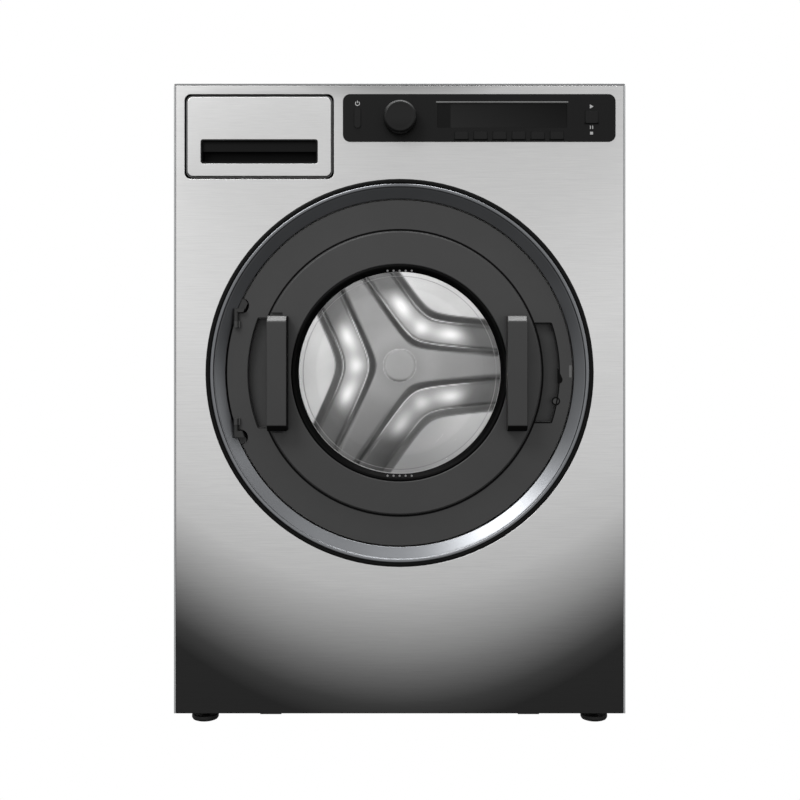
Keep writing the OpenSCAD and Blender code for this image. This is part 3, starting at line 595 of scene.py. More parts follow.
# Near-black for painted shadow: inside the vent holes and under the keys.
shadow_paint_black = moulded("painted_shadow_black", (0.004, 0.004, 0.004), 0.6, 900.0, 0.0, 0.1, 0.05)
rear_low, rear_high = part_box("rear_panel")
cover_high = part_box("service_cover")[1]
SCREW_INSET = 0.008
SCREW_R = 0.004
SCREW_H = 0.0024
SCREW_END = 0.02
SCREW_ROWS = 6
VENT_ROWS = 5
VENT_COLUMNS = 22
VENT_PITCH = 0.012
VENT_Z = 0.775
VENT_R = 0.0036
rear_screws, cover_screws = [], []
for k in range(SCREW_ROWS):
    z = rear_low.z + SCREW_END + k * (rear_high.z - rear_low.z - 2 * SCREW_END) / (SCREW_ROWS - 1)
    for side in (-1, 1):
        rear_screws.append((side * (rear_high.x - SCREW_INSET), rear_high.y + 0.0004, z))
for k in range(5):
    along = (k - 2) / 2 * (cover_high.x - SCREW_INSET)
    for side in (-1, 1):
        edge = side * (cover_high.x - SCREW_INSET)
        cover_screws.append((along, rear_high.y + 0.0012, port_z + edge))
        if abs(k - 2) < 2:
            cover_screws.append((edge, rear_high.y + 0.0012, port_z + along))
rear_heads = placed("rear_screw_heads", rear_screws + cover_screws,
                    [(0, 1, 0)] * (len(rear_screws) + len(cover_screws)),
                    SCREW_R, SCREW_H, 12, zinc_head)
add_on(rear_heads, "rear_panel")
vents = []
for row in range(VENT_ROWS):
    for column in range(VENT_COLUMNS):
        x = VENT_PITCH * (column - (VENT_COLUMNS - 1) / 2)
        vents.append((x, rear_high.y - 0.0004, VENT_Z + VENT_PITCH * row))
add_on(placed("rear_vent_holes", vents, [(0, 1, 0)] * len(vents), VENT_R, 0.001, 12, shadow_paint_black),
       "rear_panel")

# ------------------------ base and feet
# A black coated pressed tray carries everything and stands on four screwed rubber feet.
chassis_black = moulded("chassis_black_coat", (0.012, 0.012, 0.012), 0.5)
foot_rubber = moulded("foot_rubber", (0.008, 0.008, 0.008), 0.55, 700.0, 0.2)
bright_steel = brushed("bright_turned_steel", 0.50, 0.62, 0.25, (400.0, 400.0, 400.0), 0.05)
rounded_copy("base_tray", "base_pressing", chassis_black, 0.0005, 2)
rounded_copy("levelling_feet", "levelling_feet_set", foot_rubber, 0.0004, 2)

# ------------------------ porthole
# A spun steel ring with a convex lip and a sloping throat, seated in a black rubber rim.
ring_r = (port_high.x - port_low.x) / 2 * 1000
LIP_R = 230.5
ring_metal, tree, shader, coords = new_material("porthole_spun_metal")
effect = use_effect(tree, brushing, coords, Along=(90.0, 90.0, 90.0), Depth=0.0)
tone = spread(tree, effect.outputs["Patch"], 0.3, 0.7)
BLUE_CAST = (0.97, 1, 1.05)
tree.links.new(blend_colours(tree, tone, grey_of(0.20, BLUE_CAST), grey_of(0.22, BLUE_CAST)),
               shader.inputs["Base Color"])
tree.links.new(spread(tree, effect.outputs["Patch"], 0.3, 0.7, 0.31, 0.35),
               shader.inputs["Roughness"])
shader.inputs["Metallic"].default_value = 1.0

ring_outline = fillet([(ring_r, 10), (ring_r, -0.6), (ring_r - 1.2, -1.8), (ring_r - 4.3, -1.4),
                       (ring_r - 5.3, 0.2), (ring_r - 6.5, 0.8), (LIP_R, 9.3),
                       (LIP_R, 11.5), (LIP_R + 2.3, 11.5), (ring_r - 5.2, 3.2),
                       (ring_r - 2, 2.6), (ring_r - 2, 10)], 1.0)
stand_for(lathe("porthole_spun_ring", ring_outline, ring_metal, steps=384), "porthole_ring")

rim_rubber = moulded("porthole_rim_rubber", (0.003, 0.003, 0.003), 0.5, 900.0, 0.1, 0.1, 0.1)
rim_r = ring_r + 5.5
rim_outline = fillet([(ring_r, 10), (ring_r, 0.4), (ring_r + 1.2, -0.7), (rim_r - 1.2, -0.7),
                      (rim_r, 0), (rim_r, 1.2), (rim_r + 3.5, 1.2), (rim_r + 3.5, 3.2),
                      (rim_r, 3.2), (rim_r, 10)], 0.7)
stand_for(lathe("porthole_rubber_rim", rim_outline, rim_rubber, steps=384), "porthole_rim")

pan_steel = brushed("door_pan_steel", 0.42, 0.5, 0.35, (60.0, 60.0, 60.0), 0.05)
rounded_copy("porthole_pan", "door_pan", pan_steel, 0.0006, 2)
rounded_copy("hinge_bracket", "hinge_bracket_and_pins", chassis_black, 0.0005, 2)
lock_black = moulded("lock_black_plastic", (0.02, 0.02, 0.02), 0.45)
rounded_copy("door_lock", "door_lock_case", lock_black, 0.0004, 2)

# ------------------------ door
# Dark grey moulded covers front and back on a cast frame that clamps the glass bowl. Two grip
# bars stand on the front, and the fingers reach into wells beside them.
door_grey = moulded("door_grey_plastic", (0.040, 0.040, 0.040), 0.42, 1300.0, 0.06, 0.05, 0.38)
grip_grey = moulded("grip_grey_plastic", (0.026, 0.026, 0.026), 0.36, 1300.0, 0.05, 0.05, 0.5)
inner_grey = moulded("inner_cover_plastic", (0.06, 0.06, 0.06), 0.45)
gasket_black = moulded("window_gasket_rubber", (0.0015, 0.0015, 0.0015), 0.45, 900.0, 0.05, 0.1, 0.06)
cast_alloy = moulded("cast_alloy", (0.42, 0.42, 0.42), 0.4, 500.0, 0.25)
rounded_copy("door_cover", "door_outer_cover", door_grey, 0.0006, 3)
rounded_copy("door_trim", "door_raised_disc", door_grey, 0.0005, 3)
# Near-black for painted shade on each grip bar's underside and on its faces turned to the right, away
# from the light.
grip_shade_paint = moulded("grip_painted_shade_black", (0.003, 0.003, 0.003), 0.6, 1300.0, 0.05, 0.1, 0.08)
for side in ("left", "right"):
    bar = rounded_copy(f"grip_{side}", f"{side}_grip_bar", grip_grey, 0.0016, 4)
    bar.data.materials.append(grip_shade_paint)
    for face in bar.data.polygons:
        face.material_index = int(face.normal.z < -0.4 or face.normal.x > 0.8)
rounded_copy("door_frame", "door_cast_frame", cast_alloy, 0.0005, 2)
rounded_copy("door_inner_cover", "door_back_cover", inner_grey, 0.0008, 3)
rounded_copy("latch_hook", "latch_hook_steel", bright_steel, 0.0004, 2)

# Seams and marks on the cover's front: black bands of painted shadow in the groove round the raised
# disc, along the edges of the two finger wells, in a wedge notch and round the lock pin, and a pale
# printed strip. Depths are in mm from the panel.
SEAM_DEPTHS = (9.3, 9.7)
MARK_FRONT = 9.2
MARK_BACK = 9.7
SEAM_GAP = 1.4
SEAM_STEPS = 240
trim_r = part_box("door_trim")[1].x * 1000
# Near-black for painted shadow in the groove, the well seams, the notch and round the lock pin.
groove_shadow_paint = moulded("groove_shadow_black", (0.003, 0.003, 0.003), 0.6, 900.0, 0.0, 0.1, 0.05)
LEFT_WELL_HALF = 72.9
groove_r = trim_r + SEAM_GAP
opening = math.asin(LEFT_WELL_HALF / groove_r)
sweep = [math.pi + opening + (2 * math.pi - 2 * opening) * k / SEAM_STEPS
         for k in range(SEAM_STEPS + 1)]
groove_path = [(groove_r * math.cos(a), port_z * 1000 + groove_r * math.sin(a)) for a in sweep]
add_on(band("door_disc_groove_shadow", groove_path, 2.6, SEAM_DEPTHS, groove_shadow_paint), "door_cover")


def well_edge(name, side, radius, half_height, width):
    """A black band of painted shadow along the seam that runs round the open side of a finger well."""
    corner = math.asin(half_height / radius)
    start = math.sqrt((trim_r + 2.5) ** 2 - half_height ** 2)
    arc = [(radius * math.cos(corner * k / 24), radius * math.sin(corner * k / 24))
           for k in range(-24, 25)]
    path = fillet([(start, -half_height)] + arc + [(start, half_height)], 6, 5, False)
    return band(name, [(side * x, port_z * 1000 + z) for x, z in path], width, SEAM_DEPTHS,
                groove_shadow_paint)


add_on(well_edge("right_well_seam_shadow", 1, 211.6, 65.9, 1.7), "door_cover")
add_on(well_edge("left_well_seam_shadow", -1, 201.3, LEFT_WELL_HALF, 0.8), "door_cover")
notch = [(209.0, 476.0), (216.2, 459.6), (214.6, 455.4), (209.0, 453.6)]
add_on(plate("door_wedge_notch_shadow", fillet(notch, 2, 4), (MARK_FRONT, MARK_BACK), groove_shadow_paint),
       "door_cover")
PIN_X = 207.0
PIN_DROP = 37.5
pin_seam = [(3.9, MARK_FRONT), (5.6, MARK_FRONT), (5.6, MARK_BACK), (3.9, MARK_BACK)]
add_on(lathe("lock_pin_seam_shadow", pin_seam, groove_shadow_paint, (PIN_X / 1000, port_z - PIN_DROP / 1000), 48),
       "door_cover")
label_grey = moulded("printed_light_grey", (0.22, 0.22, 0.22), 0.5, 900.0, 0.0)
strip = fillet([(224.4, 462.4), (228.0, 462.4), (228.0, 478.6), (224.4, 478.6)], 1, 3)
mark_grey = moulded("pale_mark_grey", (0.11, 0.11, 0.11), 0.5, 900.0, 0.0)
add_on(plate("door_pale_mark", strip, (MARK_FRONT, MARK_BACK), mark_grey), "door_cover")

# A rubber gasket grips the glass, with five moulded nibs above and below and a printed line
# round the glass just inside it.
gasket_outline = fillet([(143.5, 6.1), (141.5, 5.5), (139.0, 6.3), (134.0, 12.0), (134.0, 14.0),
                         (147.0, 14.0), (147.0, 12.0), (143.5, 12.0)], 0.8)
stand_for(lathe("window_rubber_gasket", gasket_outline, gasket_black), "window_gasket")

NIB_PITCH = 0.008
NIB_R = 0.0015
NIB_H = 0.0012
nibs = [(NIB_PITCH * (k - 2), panel_y + 0.0075, port_z - 0.1362) for k in range(5)]
nibs += [(NIB_PITCH * (k - 2), panel_y + 0.0085, port_z + 0.1352) for k in range(5)]
add_on(placed("gasket_moulded_nibs", nibs, [(0, -1, 0)] * len(nibs), NIB_R, NIB_H, 8, label_grey),
       "window_gasket")
edge_line = [(127.9, 14.2), (128.7, 14.2), (128.7, 15.0), (127.9, 15.0)]
add_on(lathe("glass_printed_line", edge_line, label_grey), "door_glass")

# The glass lets light straight through. Its mirroring is held low, so that the steep sides of
# the bowl stay clear and the drum shows up to the gasket.
GLASS_MIRROR = 0.05
glass, tree, shader, coords = new_material("clear_glass")
effect = use_effect(tree, moulding, coords, Grain=60.0, Depth=0.0)
tree.links.new(spread(tree, effect.outputs["Grain"], 0.3, 0.7, 0.02, 0.05),
               shader.inputs["Roughness"])
shader.inputs["Base Color"].default_value = grey_of(0.02)
clear = tree.nodes.new("ShaderNodeBsdfTransparent")
clear.inputs["Color"].default_value = grey_of(0.985)
facing = node_of(tree, "ShaderNodeFresnel", IOR=1.25)
joined = tree.nodes.new("ShaderNodeMixShader")
tree.links.new(math_of(tree, "MINIMUM", facing.outputs["Fac"], GLASS_MIRROR), joined.inputs[0])
tree.links.new(clear.outputs["BSDF"], joined.inputs[1])
tree.links.new(shader.outputs["BSDF"], joined.inputs[2])
tree.links.new(joined.outputs["Shader"], tree.nodes["Material Output"].inputs["Surface"])
glass_outline = [(0, 97), (60, 96.6), (98, 95), (110, 91), (117, 86), (121, 78), (128, 60),
                 (134, 19.4), (134.4, 19), (146.6, 19), (147, 18.6), (147, 14.4), (146.6, 14),
                 (130, 14), (129, 14.6), (123, 58), (116.4, 76), (112.6, 83), (106, 87.6),
                 (96.5, 90.4), (60, 91.7), (0, 92)]
bowl = lathe("door_glass_bowl", fillet(glass_outline, 3, 3, False), glass, closed=False, sharp=80)
stand_for(bowl, "door_glass")

# ------------------------ drum
# Bright stainless: a rolled shell with drilled rows, moulded lifters, and a back wall pressed with
# three chevron channels between the arms of a star. The back wall's tone is painted light: painted
# shade on the channel slopes, painted highlights on the crests, ribs and spots, and flats brighter
# outwards.
drum_low, drum_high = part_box("drum_shell")
BACK_FRONT = (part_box("drum_back")[0].y - panel_y) * 1000
drum_r = (drum_high.x - drum_low.x) / 2 * 1000

drum_steel = brushed("drum_steel", 0.62, 0.7, 0.28, (120.0, 120.0, 120.0), 0.03)
CHEVRON_MIDDLE = 71.5
CHEVRON_HALF = 31.0
CREST_HALF = 18.0
CHEVRON_LEAN = math.radians(64.8)
CHEVRON_ROUND = 20.0
SPOT_SIDE = 48.0
HUB_R = 25.5
# Painted light levels for the areas of the back wall.
ARM_PAINTED_LIGHT = 0.22
FLAT_PAINTED_LIGHT = 0.34
SLOPE_PAINTED_SHADE = 0.115
CREST_PAINTED_LIGHT = 0.13
RIB_PAINTED_HIGHLIGHT = 0.62
HUB_PAINTED_LIGHT = 0.29
CHANNEL_DEPTH = 5.0
CREST_RISE = 2.5
FADE_FROM = 96
FADE_TO = 134


def smoothstep(low, high, value):
    t = np.clip((value - low) / (high - low), 0, 1)
    return t * t * (3 - 2 * t)


def bell(value, width):
    return np.exp(-(value / width) ** 2)


def pressing(x, z):
    """Depth in mm behind the panel of the drum's back wall, and its painted light: painted shade on the
    channel walls and painted highlights on the crests, ribs and spots.
    """
    depth = np.full_like(x, BACK_FRONT + 3.5)
    radius = np.hypot(x, z)
    tone = ARM_PAINTED_LIGHT + 0.05 * bell(radius - 48, 22)
    fade = 1 - smoothstep(FADE_FROM, FADE_TO, radius)
    for turn in (60, 180, 300):
        angle = math.radians(turn)
        out = x * math.cos(angle) + z * math.sin(angle)
        side = np.abs(-x * math.sin(angle) + z * math.cos(angle))
        bend = np.sqrt(side ** 2 + CHEVRON_ROUND ** 2) - CHEVRON_ROUND
        across = (out - CHEVRON_MIDDLE) * math.sin(CHEVRON_LEAN) - bend * math.cos(CHEVRON_LEAN)
        near = out > 5
        reach = CHEVRON_HALF - np.where(across < 0, 0.045, 0.0) * side
        beyond = smoothstep(CHEVRON_HALF - 1.5, CHEVRON_HALF + 1.5, across) * near
        tone = tone + (FLAT_PAINTED_LIGHT + 0.16 * smoothstep(85, 140, radius) - tone) * beyond
        slope = smoothstep(reach + 0.8, reach - 1.2, np.abs(across)) * near
        tone = tone + (SLOPE_PAINTED_SHADE - tone) * slope
        crest = smoothstep(CREST_HALF + 0.6, CREST_HALF - 2.2, np.abs(across)) * near
        painted_glints = (0.62 * bell(side, 12) + 0.72 * bell(side - SPOT_SIDE, 20)) * bell(across, 10)
        lit = CREST_PAINTED_LIGHT + (0.13 + 0.08 * bell(across, 10) + 0.48 * painted_glints) * fade
        tone = tone + (lit - tone) * crest
        rib_highlight = bell(np.abs(across) - CREST_HALF - 0.3, 0.9) * near
        tone = tone + (RIB_PAINTED_HIGHLIGHT * fade + CREST_PAINTED_LIGHT - tone) * rib_highlight * 0.85
        sunk = smoothstep(CHEVRON_HALF, CREST_HALF + 1, np.abs(across)) * near
        bow = np.cos(np.clip(across / 24, -1.5, 1.5)) * near
        depth = depth + sunk * CHANNEL_DEPTH - crest * CREST_RISE * bow
    hub = smoothstep(HUB_R + 0.4, HUB_R - 0.8, radius)
    tone = tone + (HUB_PAINTED_LIGHT - tone) * hub + 0.16 * bell(radius - HUB_R - 1.2, 0.8)
    depth = depth - hub * 1.4 + smoothstep(drum_r - 30, drum_r - 6, radius) * 5.0
    return depth, tone


GRID = 2.0
half = int(drum_r // GRID) + 1
axis = np.arange(-half, half + 1) * GRID
grid_x, grid_z = np.meshgrid(axis, axis, indexing="ij")
grid_r = np.hypot(grid_x, grid_z)
edge_r = drum_r - 1.6
pull = np.where(grid_r > edge_r, edge_r / np.maximum(grid_r, 1), 1.0)
wall_depth, wall_painted_light = pressing(grid_x * pull, grid_z * pull)
inside = grid_r <= edge_r + GRID * 0.99
index = np.full(inside.shape, -1)
index[inside] = np.arange(inside.sum())
points = np.stack([(grid_x * pull)[inside] / 1000, panel_y + wall_depth[inside] / 1000,
                   port_z + (grid_z * pull)[inside] / 1000], axis=1)
corners = np.stack([index[:-1, :-1], index[1:, :-1], index[1:, 1:], index[:-1, 1:]], axis=-1)
faces = corners[(corners >= 0).all(axis=-1)].tolist()
back_wall = add_mesh("drum_back_pressing", points, faces)
layer = back_wall.data.attributes.new("painted_light_tone", "FLOAT", "POINT")
layer.data.foreach_set("value", wall_painted_light[inside].astype(np.float32))
thick = back_wall.modifiers.new("sheet", "SOLIDIFY")
thick.thickness = 0.0012
thick.offset = 1
back_steel, tree, shader, coords = new_material("drum_back_steel")
effect = use_effect(tree, brushing, coords, Along=(70.0, 70.0, 70.0), Depth=0.0)
# The back wall's colour is its painted light tone, with a little random variation.
painted_light_node = tree.nodes.new("ShaderNodeAttribute")
painted_light_node.attribute_name = "painted_light_tone"
wear = spread(tree, effect.outputs["Patch"], 0.3, 0.7, 0.95, 1.03)
tone = math_of(tree, "MULTIPLY", painted_light_node.outputs["Fac"], wear)
tree.links.new(blend_colours(tree, tone, grey_of(0.0), grey_of(1.0)), shader.inputs["Base Color"])
tree.links.new(spread(tree, effect.outputs["Streak"], 0.3, 0.7, 0.46, 0.52),
               shader.inputs["Roughness"])
shader.inputs["Metallic"].default_value = 1.0
back_wall.data.materials.append(back_steel)
stand_for(back_wall, "drum_back")

shell_start = (drum_low.y - panel_y) * 1000
shell_end = (drum_high.y - panel_y) * 1000
MOUTH_R = 158.0
SHELL_SHEET = 1.5
shell_outline = fillet([(MOUTH_R, shell_start + 10), (MOUTH_R, shell_start),
                        (drum_r, shell_start), (drum_r, shell_end),
                        (drum_r - SHELL_SHEET, shell_end),
                        (drum_r - SHELL_SHEET, shell_start + SHELL_SHEET),
                        (MOUTH_R + 2, shell_start + SHELL_SHEET),
                        (MOUTH_R + 2, shell_start + 10)], 1.2)
stand_for(lathe("drum_rolled_shell", shell_outline, drum_steel), "drum_shell")

# Drilled holes in staggered rows all round the shell, left out where the lifters stand, drawn as dark
# discs that paint the shade inside each hole.
HOLE_PITCH = 0.0125
HOLE_R = 0.0024
LIFTER_ANGLES = (30, 150, 270)
LIFTER_HALF_ANGLE = 10
hole_shadow = moulded("drum_hole_shadow", (0.01, 0.01, 0.01), 0.6)
wall_r = (drum_r - SHELL_SHEET) / 1000
around = int(2 * math.pi * wall_r / HOLE_PITCH)
rows = int((shell_end - shell_start - 30) / 1000 / HOLE_PITCH)
places, facings = [], []
for row in range(rows):
    y = panel_y + shell_start / 1000 + 0.018 + row * HOLE_PITCH
    for k in range(around):
        angle = 2 * math.pi * (k + row % 2 / 2) / around
        apart = [abs((math.degrees(angle) - a + 180) % 360 - 180) for a in LIFTER_ANGLES]
        if min(apart) < LIFTER_HALF_ANGLE:
            continue
        outward = Vector((math.cos(angle), 0, math.sin(angle)))
        places.append(Vector((0, y, port_z)) + outward * wall_r)
        facings.append(-outward)
add_on(placed("drum_drilled_holes", places, facings, HOLE_R, 0.0006, 6, hole_shadow), "drum_shell")

lifter_plastic = moulded("lifter_plastic", (0.35, 0.35, 0.35), 0.4)
rounded_copy("drum_lifters", "drum_lifter_set", lifter_plastic, 0.003, 4)

LAMP_R = 0.140
LAMP_DEPTH = 0.125
LAMP_SIZE = 0.05
AIM_R = 0.10
AIM_DEPTH = 0.42


def lamp_in_drum(name, angle, power):
    """A small lamp behind the window's edge that lights the drum, as the makers fit them."""
    turn = math.radians(angle)
    place = (LAMP_R * math.cos(turn), panel_y + LAMP_DEPTH, port_z + LAMP_R * math.sin(turn))
    target = (AIM_R * math.cos(turn), panel_y + AIM_DEPTH, port_z + AIM_R * math.sin(turn))
    lamp = soft_box(name, place, target, (LAMP_SIZE, LAMP_SIZE), power)
    lamp.visible_camera = False
    return lamp


for turn, power in ((90, 0.20), (30, 0.14), (150, 0.16), (210, 0.14), (330, 0.12)):
    lamp_in_drum(f"drum_lamp_{turn}", turn, power)

seal_grey = moulded("door_seal_rubber", (0.12, 0.12, 0.125), 0.5, 900.0, 0.1)
rounded_copy("door_seal", "door_bellows", seal_grey, 0.0008, 3)

# ------------------------ detergent drawer
# A brushed steel face on a moulded tray, with a black finger recess let into it.
drawer_steel = brushed("drawer_brushed_steel", 0.56, 0.66, 0.33)
recess_black = moulded("grip_recess_plastic", (0.0025, 0.0025, 0.0025), 0.45, 1300.0, 0.05, 0.1, 0.12)
tray_white = moulded("tray_plastic", (0.62, 0.63, 0.64), 0.3, 900.0, 0.03, 0.03)
rounded_copy("drawer_front", "drawer_steel_face", drawer_steel, 0.0006, 3)
rounded_copy("drawer_grip", "drawer_grip_recess", recess_black, 0.0005, 2)
rounded_copy("drawer_tray", "drawer_detergent_tray", tray_white, 0.0007, 2)
rounded_copy("dispenser_housing", "drawer_housing", lock_black, 0.0005, 2)

# A grey band set in the gap round the drawer's face: painted shade of the gap.
face_low, face_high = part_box("drawer_front")
SEAM = 1.2
seam_low = (face_low.x * 1000 - SEAM, face_low.z * 1000 - SEAM)
seam_high = (face_high.x * 1000 + SEAM, face_high.z * 1000 + SEAM)
middle = (seam_low[0] + seam_high[0]) / 2
corners = [(middle, seam_low[1]), seam_low, (seam_low[0], seam_high[1]), seam_high,
           (seam_high[0], seam_low[1]), (middle, seam_low[1])]
gap_grey_paint = moulded("drawer_gap_painted_grey", (0.09, 0.09, 0.09), 0.55, 900.0, 0.1)
add_on(band("drawer_gap_painted_shade", fillet(corners, 9, 6, False), 1.3, (1.6, 3.0), gap_grey_paint),
       "dispenser_housing")

# ------------------------ control panel
# A satin black moulding with a tinted display window, a turned-look knob and soft keys.
fascia_black = moulded("fascia_black_plastic", (0.0065, 0.0065, 0.0065), 0.40, 1500.0, 0.08, 0.05, 0.13)
display_low, display_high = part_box("display_window")
display_tint, tree, shader, coords = new_material("display_tinted_window")
effect = use_effect(tree, moulding, coords, Grain=300.0, Depth=0.0)
parts = tree.nodes.new("ShaderNodeSeparateXYZ")
tree.links.new(coords, parts.inputs["Vector"])
across = spread(tree, parts.outputs["X"], display_low.x + 0.02, display_high.x, 0.0, 0.7)
up = spread(tree, parts.outputs["Z"], display_low.z, display_high.z, 0.0, 0.3)
screen = blend_colours(tree, math_of(tree, "ADD", across, up), grey_of(0.015), grey_of(0.0015))
margin = spread(tree, parts.outputs["X"], display_low.x + 0.0185, display_low.x + 0.0195, 1.0, 0.0)
tree.links.new(blend_colours(tree, margin, screen, grey_of(0.0045)), shader.inputs["Base Color"])
tree.links.new(spread(tree, effect.outputs["Patch"], 0.3, 0.7, 0.28, 0.34),
               shader.inputs["Roughness"])
shader.inputs["Specular IOR Level"].default_value = 0.1
knob_black = moulded("knob_black_plastic", (0.007, 0.007, 0.007), 0.34, 1500.0, 0.06, 0.05, 0.2)
key_black = moulded("key_black_plastic", (0.007, 0.007, 0.007), 0.4, 1500.0, 0.06, 0.05, 0.16)
rounded_copy("control_fascia", "control_fascia_moulding", fascia_black, 0.0006, 3)
rounded_copy("display_window", "display_tinted_pane", display_tint, 0.0003, 2)
OPTION_KEYS = [f"option_button_{i}" for i in range(1, 7)]
for key in ["power_button", "start_button"] + OPTION_KEYS:
    rounded_copy(key, key + "_cap", key_black, 0.0005, 3)
knob_low, knob_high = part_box("program_knob")
knob_centre = ((knob_low.x + knob_high.x) / 2, (knob_low.z + knob_high.z) / 2)
knob_r = (knob_high.x - knob_low.x) / 2 * 1000
knob_front = (knob_low.y - panel_y) * 1000
knob_back = (knob_high.y - panel_y) * 1000
# Painted light on the knob: a painted highlight on its rounded rim above the middle, and painted shade
# that darkens its face downwards.
tree = knob_black.node_tree
centred = node_of(tree, "ShaderNodeMapping", Location=(-knob_centre[0], 0, -knob_centre[1]))
tree.links.new(tree.nodes["Texture Coordinate"].outputs["Object"], centred.inputs["Vector"])
flat = node_of(tree, "ShaderNodeSeparateXYZ")
tree.links.new(centred.outputs["Vector"], flat.inputs["Vector"])
reach = math_of(tree, "SQRT", math_of(tree, "ADD", math_of(tree, "POWER", flat.outputs["X"], 2.0),
                                      math_of(tree, "POWER", flat.outputs["Z"], 2.0)))
bevel = spread(tree, reach, knob_r / 1000 - 0.0034, knob_r / 1000 - 0.0016, 0.0, 1.0, True)
upper = spread(tree, flat.outputs["Z"], 0.004, 0.019, 0.0, 1.0, True)
lower = spread(tree, flat.outputs["Z"], -0.019, 0.0, 0.25, 1.0, True)
body = blend_colours(tree, math_of(tree, "MULTIPLY", bevel, upper), grey_of(0.007), grey_of(0.05))
body = blend_colours(tree, lower, grey_of(0.001), body)
tree.links.new(body, tree.nodes["Principled BSDF"].inputs["Base Color"])
knob_outline = fillet([(0, knob_front + 0.4), (knob_r - 6, knob_front + 0.3),
                       (knob_r - 2.8, knob_front), (knob_r - 0.5, knob_front + 2.6),
                       (knob_r, knob_front + 7), (knob_r - 0.2, -1.9), (4, -1.8),
                       (4, knob_back), (0, knob_back)], 1.6, 5, False)
stand_for(lathe("program_knob_cap", knob_outline, knob_black, knob_centre, 128, False),
          "program_knob")

# Printed symbols, a painted highlight along the display's top edge and painted shadows under the keys.
# Depths and heights are in mm.
MARK_DEPTHS = (-1.65, -1.3)
painted_highlight_grey = moulded("display_painted_highlight", (0.16, 0.16, 0.16), 0.4, 900.0, 0.0)
print_white = moulded("printed_symbols", (0.42, 0.42, 0.42), 0.5, 900.0, 0.0)
left_end, right_end = display_low.x * 1000, display_high.x * 1000
display_top = display_high.z * 1000
# A pale strip along the display's top edge: a painted highlight.
edge = [(left_end, display_top + 0.2), (right_end, display_top + 0.2),
        (right_end, display_top + 1.7), (left_end, display_top + 1.7)]
add_on(plate("display_top_painted_highlight", edge, MARK_DEPTHS, painted_highlight_grey), "control_fascia")
power_low, power_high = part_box("power_button")
power_x = (power_low.x + power_high.x) * 500
POWER_Z = 823.4
POWER_R = 2.7
STROKE = 0.9
ring = [(power_x + POWER_R * math.cos(math.radians(a)),
         POWER_Z + POWER_R * math.sin(math.radians(a))) for a in range(125, 416, 10)]
add_on(band("power_symbol_ring", ring, STROKE, MARK_DEPTHS, print_white), "control_fascia")
add_on(band("power_symbol_bar", [(power_x, POWER_Z + 0.4), (power_x, POWER_Z + 3.6)], STROKE,
            MARK_DEPTHS, print_white), "control_fascia")
start_low, start_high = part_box("start_button")
start_x = (start_low.x + start_high.x) * 500
play = [(start_x - 2.2, 816.6), (start_x + 2.6, 819.4), (start_x - 2.2, 822.2)]
add_on(plate("play_symbol", play, MARK_DEPTHS, print_white), "control_fascia")
for name, x in (("pause_symbol_left", -1.5), ("pause_symbol_right", 1.5)):
    bar = [(start_x + x, 789.8), (start_x + x, 794.2)]
    add_on(band(name, bar, 1.2, MARK_DEPTHS, print_white), "control_fascia")
stop = [(start_x - 2, 784.3), (start_x + 2, 784.3)]
add_on(band("stop_symbol", stop, 3.6, MARK_DEPTHS, print_white), "control_fascia")
# Near-black strips under the start and option keys: painted shadows.
for key in ["start_button"] + OPTION_KEYS:
    key_low, key_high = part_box(key)
    shadow_z = key_low.z * 1000 - 0.6
    under = [(key_low.x * 1000, shadow_z), (key_high.x * 1000, shadow_z)]
    add_on(band(key + "_painted_shadow", under, 2.2, MARK_DEPTHS, shadow_paint_black), "control_fascia")

# ------------------------ hidden works
# Tub, drive, services and electrics keep their built shapes and get their own finishes.
tub_plastic = moulded("tub_filled_plastic", (0.45, 0.45, 0.42), 0.5, 500.0, 0.1)
iron = moulded("counterweight_iron", (0.25, 0.25, 0.24), 0.7, 250.0, 0.5, 0.2)
board = moulded("circuit_board_green", (0.03, 0.14, 0.06), 0.3)
belt_black = moulded("belt_rubber", (0.015, 0.015, 0.015), 0.6)
valve_white = moulded("valve_plastic", (0.6, 0.6, 0.57), 0.4)

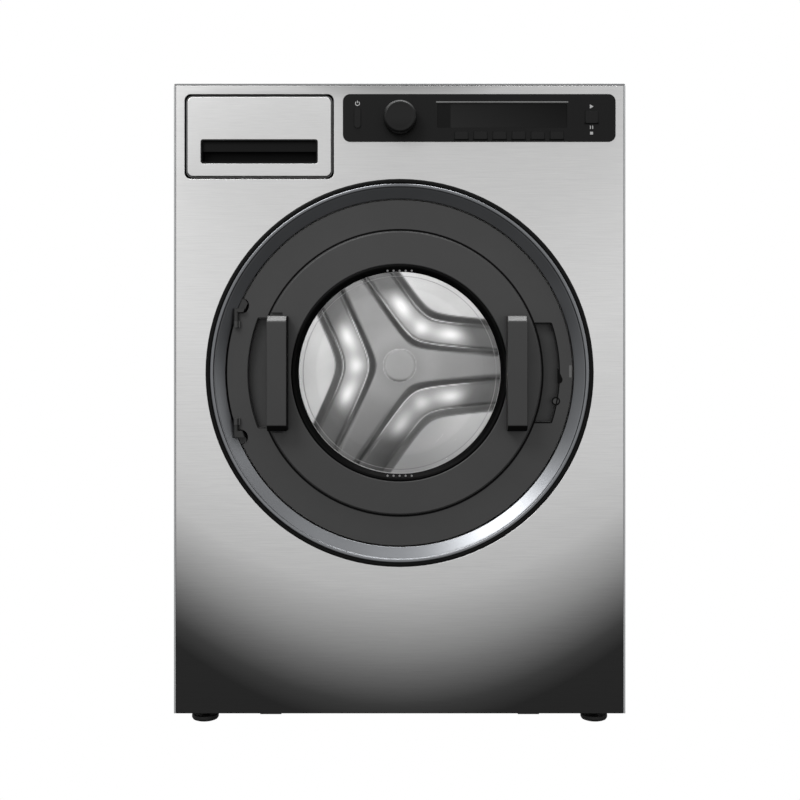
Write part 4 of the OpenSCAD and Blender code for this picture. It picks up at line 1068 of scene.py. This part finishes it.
# Two coil springs made by rule, stretching between the tub and the cabinet.
spring_low, spring_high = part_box("suspension_springs")
WIRE_R = 0.0008
SPRING_R = 0.009
SPRING_TURNS = 12.0
coiling, COIL_INPUTS, entry = rule_tree("coil_spring", [
    ("Start", "NodeSocketGeometry"), ("Turns", "NodeSocketFloat"), ("Radius", "NodeSocketFloat"),
    ("Length", "NodeSocketFloat"), ("Wire", "NodeSocketFloat"), ("Finish", "NodeSocketMaterial")])
helix = coiling.nodes.new("GeometryNodeCurveSpiral")
helix.inputs["Resolution"].default_value = 28
coiling.links.new(entry.outputs["Turns"], helix.inputs["Rotations"])
coiling.links.new(entry.outputs["Radius"], helix.inputs["Start Radius"])
coiling.links.new(entry.outputs["Radius"], helix.inputs["End Radius"])
coiling.links.new(entry.outputs["Length"], helix.inputs["Height"])
section = coiling.nodes.new("GeometryNodeCurvePrimitiveCircle")
section.inputs["Resolution"].default_value = 10
coiling.links.new(entry.outputs["Wire"], section.inputs["Radius"])
wire = coiling.nodes.new("GeometryNodeCurveToMesh")
wire.inputs["Fill Caps"].default_value = True
coiling.links.new(helix.outputs["Curve"], wire.inputs["Curve"])
coiling.links.new(section.outputs["Curve"], wire.inputs["Profile Curve"])
end_rule(coiling, entry, "Start", wire.outputs["Mesh"])
spring_y = (spring_low.y + spring_high.y) / 2
ends = [(side * (spring_high.x - SPRING_R), spring_y, spring_low.z + WIRE_R) for side in (-1, 1)]
springs = grown("suspension_coil_springs", add_mesh("spring_ends", ends, []), coiling, COIL_INPUTS,
                {"Turns": SPRING_TURNS, "Radius": SPRING_R - WIRE_R,
                 "Length": spring_high.z - spring_low.z - 2 * WIRE_R, "Wire": WIRE_R,
                 "Finish": bright_steel})
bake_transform(springs)
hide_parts("suspension_springs")

# The parts that keep their built shape, with the finish each one gets.
HIDDEN = {
    "tub_rear": tub_plastic, "tub_front": tub_plastic, "counterweights": iron,
    "heater": bright_steel, "drum_bearings": bright_steel, "drive_motor": cast_alloy,
    "drive_belt": belt_black, "damper_rods": bright_steel,
    "drum_spider": cast_alloy, "drum_pulley": cast_alloy, "motor_pulley": bright_steel,
    "control_board": board, "control_box": rear_zinc, "damper_cylinders": lock_black,
    "top_rails": rear_zinc, "drain_pump": lock_black, "inlet_valves": valve_white,
    "cable_gland": lock_black,
}
for node, finish in HIDDEN.items():
    mesh = frame["nodes"][node].data
    mesh.materials.clear()
    mesh.materials.append(finish)
